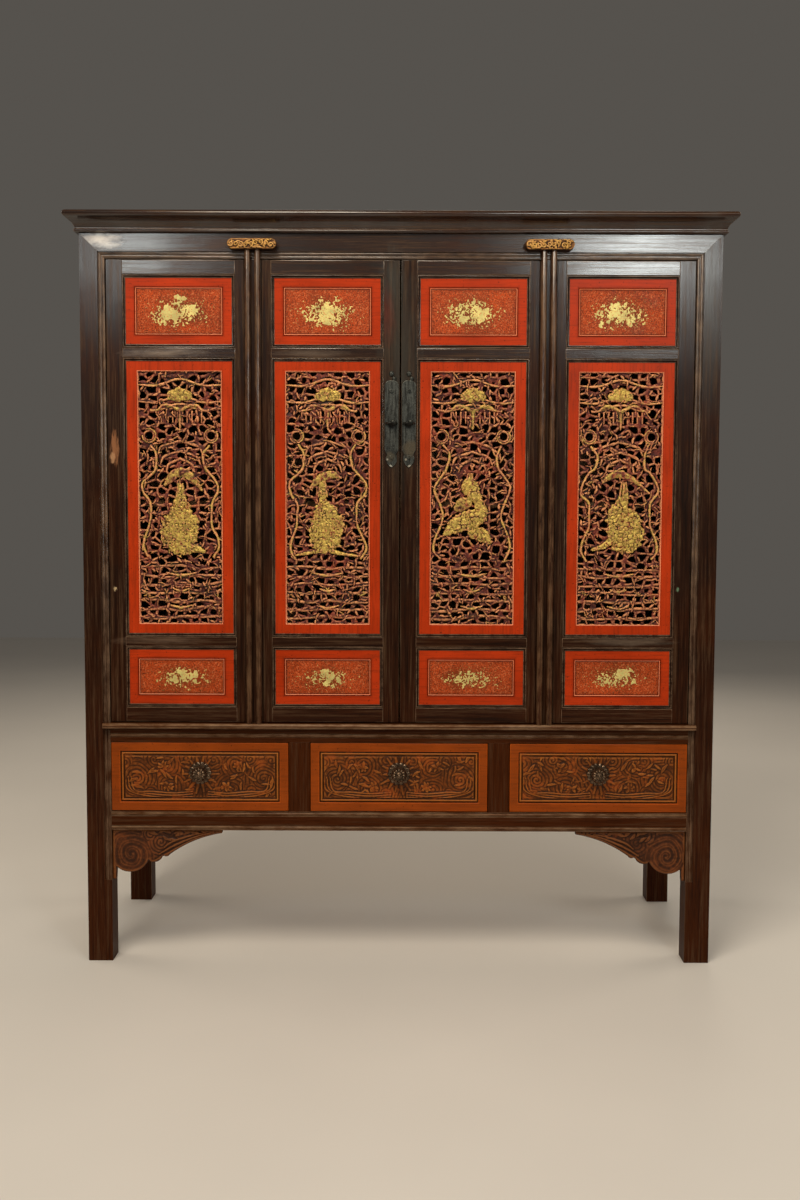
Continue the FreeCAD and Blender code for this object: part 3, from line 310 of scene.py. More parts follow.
def from_edges(work, spot):
    """How far a point lies past the outer edge of its frame, and past the inner edge, in metres."""
    across, unused, up = work.parts(work.attribute("offset", "Vector"))
    half_across, border, half_up = work.parts(work.attribute("half_size", "Vector"))
    waver = work.math(work.math(work.noise(spot, 90.0, 3.0, 0.6), 0.5, "SUBTRACT"), 6 * MM, "MULTIPLY")
    across = work.math(work.math(across, operation="ABSOLUTE"), half_across, "SUBTRACT")
    up = work.math(work.math(up, operation="ABSOLUTE"), half_up, "SUBTRACT")
    outer = work.math(work.math(across, up, "MAXIMUM"), waver)
    return outer, work.math(outer, border)


def vermilion(name, tint, dark, framed=False):
    """Red lacquer brushed along its frame, with small chips, and darker towards its edges: grime and
    painted shade.
    """
    work = Finish(name, specular=0.1, coat=0.06)
    work.shader.inputs["Coat Roughness"].default_value = 0.3
    grain = work.attribute("grain", "Vector")
    spot = work.place()
    brush = work.streaked(grain, (220, 220, 12), 4.0, 0.6)
    patches = work.noise(spot, 9.0, 4.0, 0.6)
    chips = work.noise(spot, 210.0, 3.0, 0.6)
    base = work.laid(work.clouded(patches, 0.3, 0.75, tint, 0.78, 1.12),
                     (brush, 0.48, 0.8, 0.5, shade(dark, 2.4)),
                     (chips, 0.64, 0.71, 0.75, shade(dark, 1.3)))
    if framed:
        # Grime and painted shade: darker towards the frame's outer edge, where it sits in the leaf, and a
        # little towards its inner edge
        outer, inner = from_edges(work, spot)
        base = work.laid(base, (outer, -9 * MM, 1.0 * MM, 0.6, shade(dark, 1.8)),
                         (inner, 5 * MM, 0.0, 0.35, shade(dark, 2.0)))
    roughness = work.spread(patches, 0.3, 0.8, 0.36, 0.56)
    return work.done(base, roughness, work.bump(brush, 0.25 * MM, 0.4))


def panel_field(name, tint, dark, gilt):
    """The painted ground: red, with crackle, specks of worn gold, a dark halo in the middle, grime and
    painted shade at its edges.
    """
    work = Finish(name, specular=0.18)
    spot = work.place()
    specks = work.noise(spot, 420.0, 4.0, 0.7)
    flecks = work.noise(spot, 330.0, 3.0, 0.6)
    cloud = work.noise(spot, 16.0, 4.0, 0.6)
    across, unused, up = work.parts(work.attribute("offset", "Vector"))
    half_across, border, half_up = work.parts(work.attribute("half_size", "Vector"))
    near = work.span(work.add("ShaderNodeCombineXYZ", {0: work.math(across, half_across, "DIVIDE"),
                                                       1: work.math(up, half_up, "DIVIDE")}).outputs[0])
    near = work.math(near, work.math(cloud, 0.9, "MULTIPLY"))
    base = work.laid(work.clouded(cloud, 0.3, 0.7, tint, 0.74, 1.15),
                     (near, 1.02, 0.62, 0.5, shade(dark, 1.9)),
                     (specks, 0.49, 0.58, 0.85, shade(dark, 1.2)),
                     (flecks, 0.56, 0.62, 0.55, linear(222, 128, 80)),
                     (work.math(specks, work.spread(near, 1.2, 0.6, 0.0, 0.1)), 0.68, 0.74, 0.75, gilt),
                     # Grime and painted shade along the field's edges
                     (from_edges(work, spot)[1], -12 * MM, -5 * MM, 0.35, shade(dark, 1.8)))
    return work.done(base, work.spread(cloud, 0.3, 0.7, 0.4, 0.6), work.bump(specks, 0.3 * MM, 0.35))


def gilding(name, tint, dark):
    """Gold leaf on carving: dull and yellow-green, rubbed through to the dark ground, and dark in the
    hollows as painted shade.
    """
    work = Finish(name)
    spot = work.place()
    grit = work.noise(spot, 260.0, 5.0, 0.65)
    cloud = work.noise(spot, 45.0, 3.0, 0.6)
    depth = work.attribute("depth")
    wear_and_shade = work.sum(work.spread(grit, 0.54, 0.66), work.spread(depth, 0.5, 0.1, 0.0, 0.8))
    base = work.mix(wear_and_shade, work.clouded(cloud, 0.35, 0.65, tint, 0.72, 1.12), shade(dark, 1.4))
    metal = work.spread(wear_and_shade, 0.0, 1.0, 0.25, 0.0)
    return work.done(base, work.spread(grit, 0.3, 0.7, 0.38, 0.6), work.bump(grit, 0.4 * MM, 0.5), metal)


def carved(name, low, mid, high, gilt, traces=None, fine=150.0):
    """Carved wood: hollows in painted shade, crests in painted highlight, gold where the carver's figures
    were gilt.
    """
    work = Finish(name, specular=0.18)
    spot = work.place()
    depth = work.attribute("depth")
    tone = work.attribute("tone")
    gold = work.attribute("gilt")
    grit = work.noise(spot, fine, 5.0, 0.65)
    cloud = work.noise(spot, 24.0, 4.0, 0.6)
    # From the depth mark: the darkest tint in the hollows is painted shade, the lightest on the crests a
    # painted highlight, as strong as the tone lets it be
    crest = work.sum(work.spread(depth, 0.26, 0.8), work.spread(grit, 0.35, 0.75, -0.2, 0.2))
    base = work.laid(low, (crest, 0.05, 0.6, 1.0, work.clouded(cloud, 0.36, 0.64, mid, 0.5, 1.4)))
    lit = work.sum(work.spread(crest, 0.5, 0.92), work.spread(tone, 0.0, 1.0, 0.45, 1.0), "MULTIPLY")
    base = work.mix(lit, base, high)
    if traces:
        trace = work.sum(cloud, work.spread(grit, 0.4, 0.7, -0.1, 0.12))
        base = work.laid(base, (trace, 0.54, 0.72, 0.45, traces))
    worn = work.sum(gold, work.spread(grit, 0.5, 0.64, 0.0, 0.85), "SUBTRACT")
    leaf = work.clouded(work.noise(spot, 110.0, 3.0, 0.6), 0.36, 0.62, gilt, 0.66, 1.15)
    leaf = work.mix(work.spread(grit, 0.3, 0.44, 0.5, 0.0), leaf, shade(gilt, 1.7))
    # Gold stays off the hollows, which keep their painted shade
    base = work.mix(work.sum(worn, work.spread(depth, 0.1, 0.42), "MULTIPLY"), base, leaf)
    roughness = work.spread(grit, 0.3, 0.7, 0.4, 0.7)
    metal = work.spread(worn, 0.0, 1.0, 0.0, 0.4)
    return work.done(base, roughness, work.bump(grit, 0.5 * MM, 0.6), metal)


def metal(name, tint, dark, roughness, fine, spots=()):
    """Forged metal with a streaky patina and pitting; spots of rust, wear and painted shade are as
    LOCK_SPOTS.
    """
    work = Finish(name, metallic=0.8)
    spot = work.place()
    streaks = work.streaked(spot, (fine, fine, fine * 0.12), 4.0, 0.65)
    pits = work.noise(spot, fine * 1.3, 3.0, 0.6)
    base = work.laid(dark, (streaks, 0.4, 0.62, 1.0, tint), (pits, 0.58, 0.7, 0.8, shade(dark, 0.5)),
                     (pits, 0.4, 0.3, 0.5, shade(tint, 2.0)))
    for x, z, radius, stain in spots:
        reach = work.math(work.away(spot, x, z, radius, radius), pits)
        base = work.laid(base, (reach, 1.9, 1.3, 0.9, linear(*stain)))
    normal = work.bump(pits, 0.5 * MM, 0.6, work.bump(streaks, 0.4 * MM, 0.4))
    return work.done(base, work.spread(pits, 0.3, 0.7, roughness, roughness + 0.25), normal)


def bare_timber(name, tint):
    """Unfinished softwood: long grain with dark lines, dust and stains."""
    work = Finish(name)
    grain = work.attribute("grain", "Vector")
    rings = work.streaked(grain, (38, 38, 1.6), 5.0, 0.6, 0.6)
    fibre = work.streaked(grain, (500, 500, 12), 3.0, 0.6)
    stain = work.noise(work.place(), 3.0, 4.0, 0.6)
    base = work.laid(work.clouded(rings, 0.35, 0.65, tint, 0.62, 1.1),
                     (fibre, 0.5, 0.75, 0.45, shade(tint, 0.4)),
                     (stain, 0.55, 0.75, 0.5, shade(tint, 0.45)))
    return work.done(base, work.spread(fibre, 0.3, 0.7, 0.62, 0.8), work.bump(fibre, 0.4 * MM, 0.4))


def dull_floor(name, tint):
    work = Finish(name)
    cloud = work.noise(work.place(), 1.3, 3.0, 0.5)
    base = work.clouded(cloud, 0.3, 0.7, tint, 0.96, 1.0)
    return work.done(base, work.spread(cloud, 0.3, 0.7, 0.5, 0.6))


# Rust low on the two lock plates, painted shade round their staples, bright worn tips: (x, z, radius,
# colour)
LOCK_SPOTS = (
    (0.0250, 1.180, 0.016, (84, 76, 62)),
    (-0.0240, 1.162, 0.010, (80, 74, 62)),
    (-0.0195, 1.232, 0.007, (24, 22, 20)),
    (0.0195, 1.233, 0.007, (24, 22, 20)),
    (-0.0215, 1.140, 0.0032, (176, 172, 160)),
    (-0.0285, 1.156, 0.0020, (150, 146, 136)),
    (0.0215, 1.140, 0.0034, (176, 170, 156)),
    (0.0130, 1.156, 0.0022, (150, 144, 130)),
)


def finish(name):
    """The material of that name, made when it is first asked for."""
    made = bpy.data.materials.get(f"{name} finish")
    if made:
        return made
    tints = bpy.context.scene.cabinet_finish
    black, brown, rubbed, red = tints.black, tints.brown, tints.rubbed, tints.vermilion
    drawer, iron, bronze, gilt = tints.drawer, tints.iron, tints.bronze, tints.gilt
    dark = shade(brown, 0.5)
    makers = {
        "black lacquer": (lacquer, black, brown, rubbed, 0.0, 0.36, WEAR_AND_SHEEN_SPOTS, 0.4),
        "polished lacquer": (lacquer, black, brown, rubbed, 0.0, 0.36, WEAR_AND_SHEEN_SPOTS + MITRE_SPOTS, 1.0),
        "post lacquer": (lacquer, black, brown, rubbed, 0.0, 0.36, WEAR_AND_SHEEN_SPOTS, 0.5),
        # A lighter copy of the lacquer on the beads: painted highlight lines, with some wear
        "bead lacquer": (lacquer, linear(46, 40, 35), linear(66, 38, 20), linear(150, 122, 98),
                         0.42, 0.3, (), 1.0),
        # A darker copy in the grooves: painted shade
        "groove": (lacquer, shade(black, 0.5), shade(brown, 0.4), black, 0.0, 0.6, (), 0.0),
        # A lighter copy on the rods: painted highlight, with some wear
        "rod lacquer": (lacquer, shade(black, 1.6), shade(brown, 1.5), shade(rubbed, 1.2),
                        0.35, 0.3, (), 1.0),
        # Lacquer on rounded edges: rubbed, and lighter also as painted highlight
        "rubbed black": (lacquer, linear(60, 53, 46), linear(82, 46, 22), linear(158, 130, 104),
                         0.5, 0.3, WEAR_AND_SHEEN_SPOTS, 0.9),
        "brown lacquer": (lacquer, shade(brown, 1.0), shade(brown, 1.15), shade(rubbed, 0.8), 0.0, 0.42),
        # Brown lacquer on rounded edges and rail beads: rubbed, and lighter also as painted highlight
        "rubbed brown": (lacquer, linear(96, 68, 46), linear(92, 56, 30), linear(168, 136, 106),
                         0.5, 0.35, (), 1.2),
        "vermilion": (vermilion, red, dark, True),
        # Red on rounded edges and on the panels' ridge line: lighter as painted highlight, and worn
        "rubbed red": (vermilion, linear(238, 150, 110), red),
        # A darker red in the panels' incised grooves: painted shade
        "dark line": (vermilion, shade(red, 0.34), shade(dark, 0.6)),
        "panel field": (panel_field, tints.field, dark, gilt),
        "gilding": (gilding, linear(220, 206, 126), tints.field),
        # Carved finishes: the first tint is painted shade for the hollows, the third a painted highlight
        # for the crests
        "openwork": (carved, linear(12, 4, 6), tints.openwork, linear(240, 168, 116),
                     linear(210, 180, 92), linear(150, 60, 26)),
        "drawer frame": (vermilion, drawer, dark),
        "rubbed drawer": (vermilion, shade(drawer, 1.5), dark),
        "drawer carving": (carved, linear(54, 26, 4), tints.carving, linear(160, 94, 34), gilt,
                           linear(156, 68, 18), 90.0),
        "bracket": (carved, linear(50, 26, 12), shade(tints.bracket, 0.82), linear(120, 72, 36), gilt,
                    linear(104, 50, 22), 90.0),
        "gilt carving": (carved, linear(44, 22, 10), linear(150, 100, 52), linear(222, 172, 106),
                         linear(206, 160, 84)),
        "iron": (metal, iron, shade(iron, 0.25), 0.4, 240.0, LOCK_SPOTS),
        "rubbed iron": (metal, shade(iron, 2.0), shade(iron, 0.5), 0.36, 240.0),
        "bronze": (metal, bronze, shade(bronze, 0.35), 0.16, 160.0),
        "bare timber": (bare_timber, tints.timber),
        "floor": (dull_floor, (0.74, 0.72, 0.69)),
    }
    maker, *values = makers[name]
    return maker(f"{name} finish", *values)


def link(name, data):
    """A new object at the origin in the scene's collection."""
    thing = bpy.data.objects.new(name, data)
    bpy.context.scene.collection.objects.link(thing)
    return thing


def settle(thing, body, slot, *nodes):
    """Joins a finished piece to its body and hides the nodes that it stands for. The slot is not used."""
    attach(thing, body)
    if nodes:
        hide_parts(*nodes)
    return thing


def baked(thing):
    """Turns an object with modifiers into a plain mesh."""
    evaluated = thing.evaluated_get(bpy.context.evaluated_depsgraph_get())
    mesh = bpy.data.meshes.new_from_object(evaluated)
    mesh.name = thing.name
    thing.modifiers.clear()
    thing.data = mesh
    return thing


def part_numbers(mesh):
    """For each point of a mesh, the number of the loose part that it belongs to."""
    parent = list(range(len(mesh.vertices)))

    def root(point):
        while parent[point] != point:
            parent[point] = parent[parent[point]]
            point = parent[point]
        return point

    for edge in mesh.edges:
        first, second = root(edge.vertices[0]), root(edge.vertices[1])
        if first != second:
            parent[first] = second
    roots = np.array([root(point) for point in range(len(parent))])
    return np.unique(roots, return_inverse=True)[1]


def points_of(mesh):
    points = np.empty(len(mesh.vertices) * 3)
    mesh.vertices.foreach_get("co", points)
    return points.reshape(-1, 3)


def store(mesh, name, values, kind="FLOAT"):
    field = "vector" if kind == "FLOAT_VECTOR" else "value"
    layer = mesh.attributes.new(name, kind, "POINT")
    layer.data.foreach_set(field, np.asarray(values, dtype=np.float32).ravel())


def add_grain(mesh):
    """Stores where each point lies in its own board, with the board's length along Z."""
    points = points_of(mesh)
    parts = part_numbers(mesh)
    grain = np.empty_like(points)
    for part in range(parts.max() + 1):
        chosen = points[parts == part]
        low, high = chosen.min(0), chosen.max(0)
        longest = int(np.argmax(high - low))
        order = [axis for axis in range(3) if axis != longest] + [longest]
        shift = np.sin(np.abs(low) * 97 + np.arange(3)) * 3
        grain[parts == part] = chosen[:, order] + shift
    store(mesh, "grain", grain, "FLOAT_VECTOR")


def add_frame(mesh, box, border):
    """Stores where each point lies from the middle of its frame, and the frame's half size."""
    left, bottom, right, top = box
    middle = np.array([(left + right) / 2, 0, (bottom + top) / 2])
    store(mesh, "offset", points_of(mesh) - middle, "FLOAT_VECTOR")
    half = np.array([(right - left) / 2, border, (top - bottom) / 2])
    store(mesh, "half_size", np.tile(half, (len(mesh.vertices), 1)), "FLOAT_VECTOR")


def crisp(mesh):
    """Keeps flat faces flat where they meet rounded edges and curves."""
    shape = bmesh.new()
    shape.from_mesh(mesh)
    for edge in shape.edges:
        flat = [max(abs(part) for part in side.normal) > 0.9995 for side in edge.link_faces]
        edge.smooth = len(set(flat)) == 1 and edge.calc_face_angle(0) < SOFT_CORNER
    shape.to_mesh(mesh)
    shape.free()


def board(node, body, slot, face, edge, width=None, curved=None):
    """A worn copy of a solid: corners merged, edges rounded, rubbed and on lacquer lighter as painted
    highlight, curves apart.
    """
    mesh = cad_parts[node].data.copy()
    mesh.materials.clear()
    for material in (face, edge, curved or face):
        mesh.materials.append(finish(material))
    shape = bmesh.new()
    shape.from_mesh(mesh)
    bmesh.ops.remove_doubles(shape, verts=shape.verts, dist=0.01 * MM)
    bmesh.ops.dissolve_limit(shape, angle_limit=math.radians(0.5), verts=shape.verts, edges=shape.edges)
    for polygon in shape.faces:
        polygon.smooth = True
        flat = max(abs(part) for part in polygon.normal) > 0.995
        polygon.material_index = 0 if flat else 2
    shape.to_mesh(mesh)
    shape.free()
    thing = link(f"{node}_worn", mesh)
    rounding = thing.modifiers.new("Worn edges", "BEVEL")
    rounding.width = carving_sizes().edge if width is None else width
    rounding.segments = 2
    rounding.limit_method = "ANGLE"
    rounding.angle_limit = SOFT_CORNER
    rounding.material = 1
    baked(thing)
    crisp(thing.data)
    add_grain(thing.data)
    return settle(thing, body, slot, node)


def shape_from(name, points, faces, materials, numbers=None):
    """An object from points and faces, with its material numbers."""
    mesh = bpy.data.meshes.new(name)
    mesh.from_pydata(points, [], faces)
    for material in materials:
        mesh.materials.append(finish(material))
    if numbers is not None:
        mesh.polygons.foreach_set("material_index", numbers)
    mesh.polygons.foreach_set("use_smooth", [False] * len(mesh.polygons))
    return link(name, mesh)


def ringed(box, profile):
    """Points and faces of a rectangle's nested rings: each profile entry is (inset, depth, material).

    The box is (left, bottom, right, top). The middle stays open, and the faces look to -Y.
    """
    points, faces, numbers = [], [], []
    left, bottom, right, top = box
    for inset, depth, number in profile:
        points += [(left + inset, depth, bottom + inset), (right - inset, depth, bottom + inset),
                   (right - inset, depth, top - inset), (left + inset, depth, top - inset)]
    for ring in range(len(profile) - 1):
        for corner in range(4):
            following = (corner + 1) % 4
            faces.append((ring * 4 + corner, ring * 4 + following, ring * 4 + 4 + following,
                          ring * 4 + 4 + corner))
            numbers.append(profile[ring][2])
    return points, faces, numbers


def moulding(name, boxes, profile, materials):
    """Mitred mouldings round several openings, closed at the back, as one object."""
    points, faces, numbers = [], [], []
    for box in boxes:
        start = len(points)
        ring_points, ring_faces, ring_numbers = ringed(box, [*profile, profile[0]])
        points += ring_points
        faces += [tuple(start + corner for corner in polygon) for polygon in ring_faces]
        numbers += ring_numbers
    thing = shape_from(name, points, faces, materials, numbers)
    merge(thing.data)
    add_grain(thing.data)
    return thing


def merge(mesh):
    """Joins points that lie together and turns the faces outwards."""
    shape = bmesh.new()
    shape.from_mesh(mesh)
    bmesh.ops.remove_doubles(shape, verts=shape.verts, dist=0.005 * MM)
    bmesh.ops.recalc_face_normals(shape, faces=shape.faces)
    shape.to_mesh(mesh)
    shape.free()


def blurred(grid, reach):
    """The mean of each value's surroundings."""
    for axis in (0, 1):
        grid = sum(np.roll(grid, shift, axis) for shift in range(-reach, reach + 1)) / (2 * reach + 1)
    return grid


class Relief:
    """A carved board, drawn as strokes on a grid over its face, X across and Z up.

    What no stroke covers is cut away. Each point keeps how far it lies inside the wood, how high
    its surface stands, and its tone and gilding.
    """

    def __init__(self, low, high, step, margin=0):
        self.low, self.high = low, high
        self.wide, self.tall = high[0] - low[0], high[1] - low[1]
        self.x, self.z = (np.arange(start - margin * step, end + margin * step + step / 2, step)
                          for start, end in zip(low, high))
        self.across, self.up = np.meshgrid(self.x, self.z)
        self.inside = np.full(self.across.shape, -1.0)
        self.rise, self.tone, self.gilt = (np.zeros(self.across.shape) for grid in range(3))
        self.ragged = self.mottle(6 * MM, 11)

    def at(self, across, down):
        """A point given as shares of the board's width and height, from its top left corner."""
        return np.array([self.low[0] + across * self.wide, self.high[1] - down * self.tall])

    def mottle(self, cell, seed):
        """Smooth random values from 0 to 1, a new one about every cell."""
        table = np.random.default_rng(seed).random((64, 64))
        u, v = self.across / cell + 1000, self.up / cell + 1000
        column, row = np.floor(u).astype(int), np.floor(v).astype(int)
        u, v = u - column, v - row
        u, v = u * u * (3 - 2 * u), v * v * (3 - 2 * v)
        low, high = (table[(row + above) % 64, column % 64] * (1 - u)
                     + table[(row + above) % 64, (column + 1) % 64] * u for above in (0, 1))
        return low * (1 - v) + high * v

    def cells(self, pitch, seed):
        """How far each point lies from the nearest two of many scattered centres, in pitches."""
        columns = (self.across - self.x[0]) / pitch
        rows = (self.up - self.z[0]) / (pitch * 0.82)
        size = (int(rows.max()) + 6, int(columns.max()) + 6, 2)
        jitter = np.random.default_rng(seed).uniform(0.1, 0.9, size)
        column, row = columns.astype(int), rows.astype(int)
        nearest = np.full(columns.shape, 9.0)
        second = nearest.copy()
        for down in range(-2, 3):
            for side in range(-2, 3):
                spot = jitter[row + down + 2, column + side + 2]
                away = np.hypot(columns - column - side - spot[..., 0], rows - row - down - spot[..., 1])
                second = np.minimum(second, np.maximum(away, nearest))
                nearest = np.minimum(nearest, away)
        return nearest, second

    def lay(self, inside, rise, tone, gilt=0.0, window=slice(None)):
        """Raises the surface where this layer stands higher than what is there."""
        self.inside[window] = np.maximum(self.inside[window], inside)
        higher = (inside > 0) & (rise > self.rise[window])
        for grid, value in ((self.rise, rise), (self.tone, tone), (self.gilt, gilt)):
            grid[window] = np.where(higher, value, grid[window])

    def stroke(self, path, widths, rise, tone=0.5, gilt=0.0, groove=0.0, crown=0.55):
        """A rounded stem along a path, with its half widths spread along it."""
        path = np.asarray(path, dtype=float)
        widths = np.interp(np.linspace(0, 1, len(path)), np.linspace(0, 1, len(widths)), widths)
        for start, end, first, last in zip(path[:-1], path[1:], widths[:-1], widths[1:]):
            reach = max(first, last) * 1.2
            low, high = np.minimum(start, end) - reach, np.maximum(start, end) + reach
            window = tuple(slice(*np.searchsorted(line, (low[axis], high[axis])))
                           for axis, line in ((1, self.z), (0, self.x)))
            across, up = self.across[window] - start[0], self.up[window] - start[1]
            if not across.size:
                continue
            run = end - start
            share = np.clip((across * run[0] + up * run[1]) / max(run @ run, 1e-12), 0, 1)
            away = np.hypot(across - share * run[0], up - share * run[1])
            width = np.maximum(first + (last - first) * share, 1e-6) * (0.82 + 0.36 * self.ragged[window])
            round_share = np.clip(away / width, 0, 1)
            level = 1 - crown + crown * np.sqrt(1 - round_share ** 2)
            level -= groove * np.clip(1 - round_share * 3, 0, 1)
            self.lay(width - away, rise * level, tone, gilt, window)

    def tapered(self, stroke, rise, **options):
        """A smooth stroke of (across, down, half width), all as shares of the board."""
        path = smooth_path([self.at(across, down) for across, down, half in stroke])
        halves = smooth_path([(half * self.wide * 1.08, 0) for across, down, half in stroke])[:, 0]
        self.stroke(path, halves, rise, **options)

    def sprig(self, spot, angle, size, rise, rng, gilt=0.0, slim=1.0):
        """One carved leaf with its midrib, bent a little to one side."""
        bend = rng.uniform(-0.8, 0.8)
        path = [np.asarray(spot, dtype=float)]
        for step in range(4):
            heading = angle + bend * step / 3
            path.append(path[-1] + size / 4 * np.array([math.cos(heading), math.sin(heading)]))
        self.stroke(path, np.array([0.1, 0.2, 0.24, 0.17, 0.03]) * size * slim,
                    rise * rng.uniform(0.75, 1.1), rng.uniform(0.1, 1.0), gilt, groove=0.3)

    def open(self, spot, radius):
        """Cuts a round hole."""
        away = np.hypot(self.across - spot[0], self.up - spot[1])
        self.inside = np.minimum(self.inside, away - radius)

    def mesh(self, name, face, back, material, reach=2):
        """The carved board as a closed mesh: its ground at face, rising to -Y, flat at back."""
        sharp, rim_height, least_share = math.radians(60), 0.55, 0.05
        inside = self.inside.copy()
        inside[0, :] = inside[-1, :] = inside[:, 0] = inside[:, -1] = -1e-4
        wood = inside > 0
        number = np.cumsum(wood).reshape(wood.shape) - 1
        tall = max(float(self.rise[wood].max()), 1e-6)
        front = [self.across[wood], face - self.rise[wood], self.up[wood]]
        front = list(zip(*[column.tolist() for column in front]))
        # How far each point stands above its surroundings, kept as depth: the carved finishes paint shade
        # in the hollows and highlights on the crests from it
        crest = np.clip(0.5 + (self.rise - blurred(self.rise, reach)) / (0.4 * tall), 0, 1)
        marks = [list(grid[wood]) for grid in (crest, self.tone, self.gilt)]
        crossings = {}

        def crossing(here, there):
            """The number of the point where the wood's edge crosses from one grid point to the next."""
            if not wood[here]:
                here, there = there, here
            if (here, there) not in crossings:
                share = inside[here] / (inside[here] - inside[there])
                share = min(max(share, least_share), 1 - least_share)
                x, z = (line[here[axis]] + (line[there[axis]] - line[here[axis]]) * share
                        for axis, line in ((1, self.x), (0, self.z)))
                front.append((x, face - self.rise[here] * rim_height, z))
                for mark, value in zip(marks, (crest[here] * 0.7, self.tone[here], self.gilt[here])):
                    mark.append(value)
                crossings[here, there] = len(front) - 1
            return crossings[here, there]

        quarters = [wood[:-1, :-1], wood[:-1, 1:], wood[1:, 1:], wood[1:, :-1]]
        solid, some = np.logical_and.reduce(quarters), np.logical_or.reduce(quarters)
        rows, columns = np.nonzero(solid)
        faces = np.stack([number[rows, columns], number[rows, columns + 1],
                          number[rows + 1, columns + 1], number[rows + 1, columns]], 1).tolist()
        rims = []
        for row, column in zip(*np.nonzero(some & ~solid)):
            corners = ((row, column), (row, column + 1), (row + 1, column + 1), (row + 1, column))
            ring, cut = [], []
            for corner, following in zip(corners, corners[1:] + corners[:1]):
                if wood[corner]:
                    ring.append(int(number[corner]))
                    cut.append(False)
                if wood[corner] != wood[following]:
                    ring.append(crossing(corner, following))
                    cut.append(True)
            faces.append(ring)
            for place, point in enumerate(ring):
                after = (place + 1) % len(ring)
                if cut[place] and cut[after]:
                    rims.append((point, ring[after]))
        total = len(front)
        behind = [(x, back, z) for x, depth, z in front]
        walls = [(second, first, first + total, second + total) for first, second in rims]
        rear = [[point + total for point in reversed(polygon)] for polygon in faces]
        mesh = bpy.data.meshes.new(name)
        mesh.from_pydata(front + behind, [], faces + rear + walls)
        mesh.polygons.foreach_set("use_smooth", [True] * len(faces) + [False] * (len(rear) + len(walls)))
        # The back faces get no depth, so the carved finishes paint them in shade
        for label, mark in zip(("depth", "tone", "gilt"), marks):
            store(mesh, label, mark + ([0.0] * total if label == "depth" else mark))
        mesh.materials.append(finish(material))
        mesh.set_sharp_from_angle(angle=sharp)
        return link(name, mesh)


def relief_over(node, step, margin=1):
    """A relief over a node's front, a few steps wider than it, and the node's box."""
    low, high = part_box(node)
    return Relief((low.x, low.z), (high.x, high.z), step, margin), low, high


def smooth_path(corners, per_span=6):
    """A smooth line through given corners."""
    corners = np.asarray(corners, dtype=float)
    padded = np.vstack([corners[0] * 2 - corners[1], corners, corners[-1] * 2 - corners[-2]])
    path = []
    for index in range(1, len(padded) - 2):
        before, start, end, after = padded[index - 1:index + 3]
        for share in np.arange(per_span) / per_span:
            path.append(0.5 * (2 * start + (end - before) * share
                               + (2 * before - 5 * start + 4 * end - after) * share ** 2
                               + (3 * start - before - 3 * end + after) * share ** 3))
    path.append(padded[-2])
    return np.array(path)


def spiral(centre, outer, inner, turns, start, way=1, steps=14):
    """A scroll that winds in from its outer to its inner radius; angles in turns."""
    shares = np.linspace(0, 1, max(int(steps * turns), 4))
    radius = outer + (inner - outer) * shares ** 0.8
    angle = (start + way * turns * shares) * TURN
    return np.stack([centre[0] + radius * np.cos(angle), centre[1] + radius * np.sin(angle)], 1)


def tracery(relief, pitch, half, rise, seed):
    """An irregular net of stems, the walls between scattered openings."""
    nearest, second = relief.cells(pitch, seed)
    wide = half * (0.45 + 1.25 * relief.mottle(pitch * 0.55, seed))
    share = (second - nearest) * pitch / 2 / wide
    layer = 0.55 + 0.6 * relief.mottle(pitch * 1.3, seed + 3)
    level = rise * layer * (0.25 + 0.75 * np.sqrt(np.clip(1 - share ** 2, 0, 1)))
    relief.lay((1 - share) * half, level, relief.mottle(9 * MM, seed + 1) * 0.5)


def foliage(relief, trials, size, rise, seed):
    """Leaves and fine gilt-edged strands that follow the stems."""
    rng = np.random.default_rng(seed)
    climb, run = np.gradient(relief.inside)
    for trial in range(trials):
        row, column = rng.integers(len(relief.z)), rng.integers(len(relief.x))
        if relief.inside[row, column] < 0.4 * MM:
            continue
        spot = (relief.x[column], relief.z[row])
        angle = math.atan2(run[row, column], -climb[row, column]) + rng.choice((0, math.pi))
        angle += rng.uniform(-0.5, 0.5)
        if rng.random() < 0.6:
            relief.sprig(spot, angle, size * rng.uniform(0.6, 1.15), rise, rng, slim=0.85)
        else:
            relief.sprig(spot, angle, size * rng.uniform(0.8, 1.5), rise * 1.2, rng,
                         rng.uniform(0.0, 0.5), 0.36)


# The gilt vine on the left of a pierced panel, from its curl down: shares of the opening's width
# and height, counted from its top left corner
VINE_SHARES = ((0.155, 0.290), (0.214, 0.326), (0.198, 0.375), (0.144, 0.400), (0.050, 0.440),
               (0.045, 0.478), (0.123, 0.518), (0.140, 0.567), (0.123, 0.612), (0.059, 0.660),
               (0.040, 0.702), (0.102, 0.738))
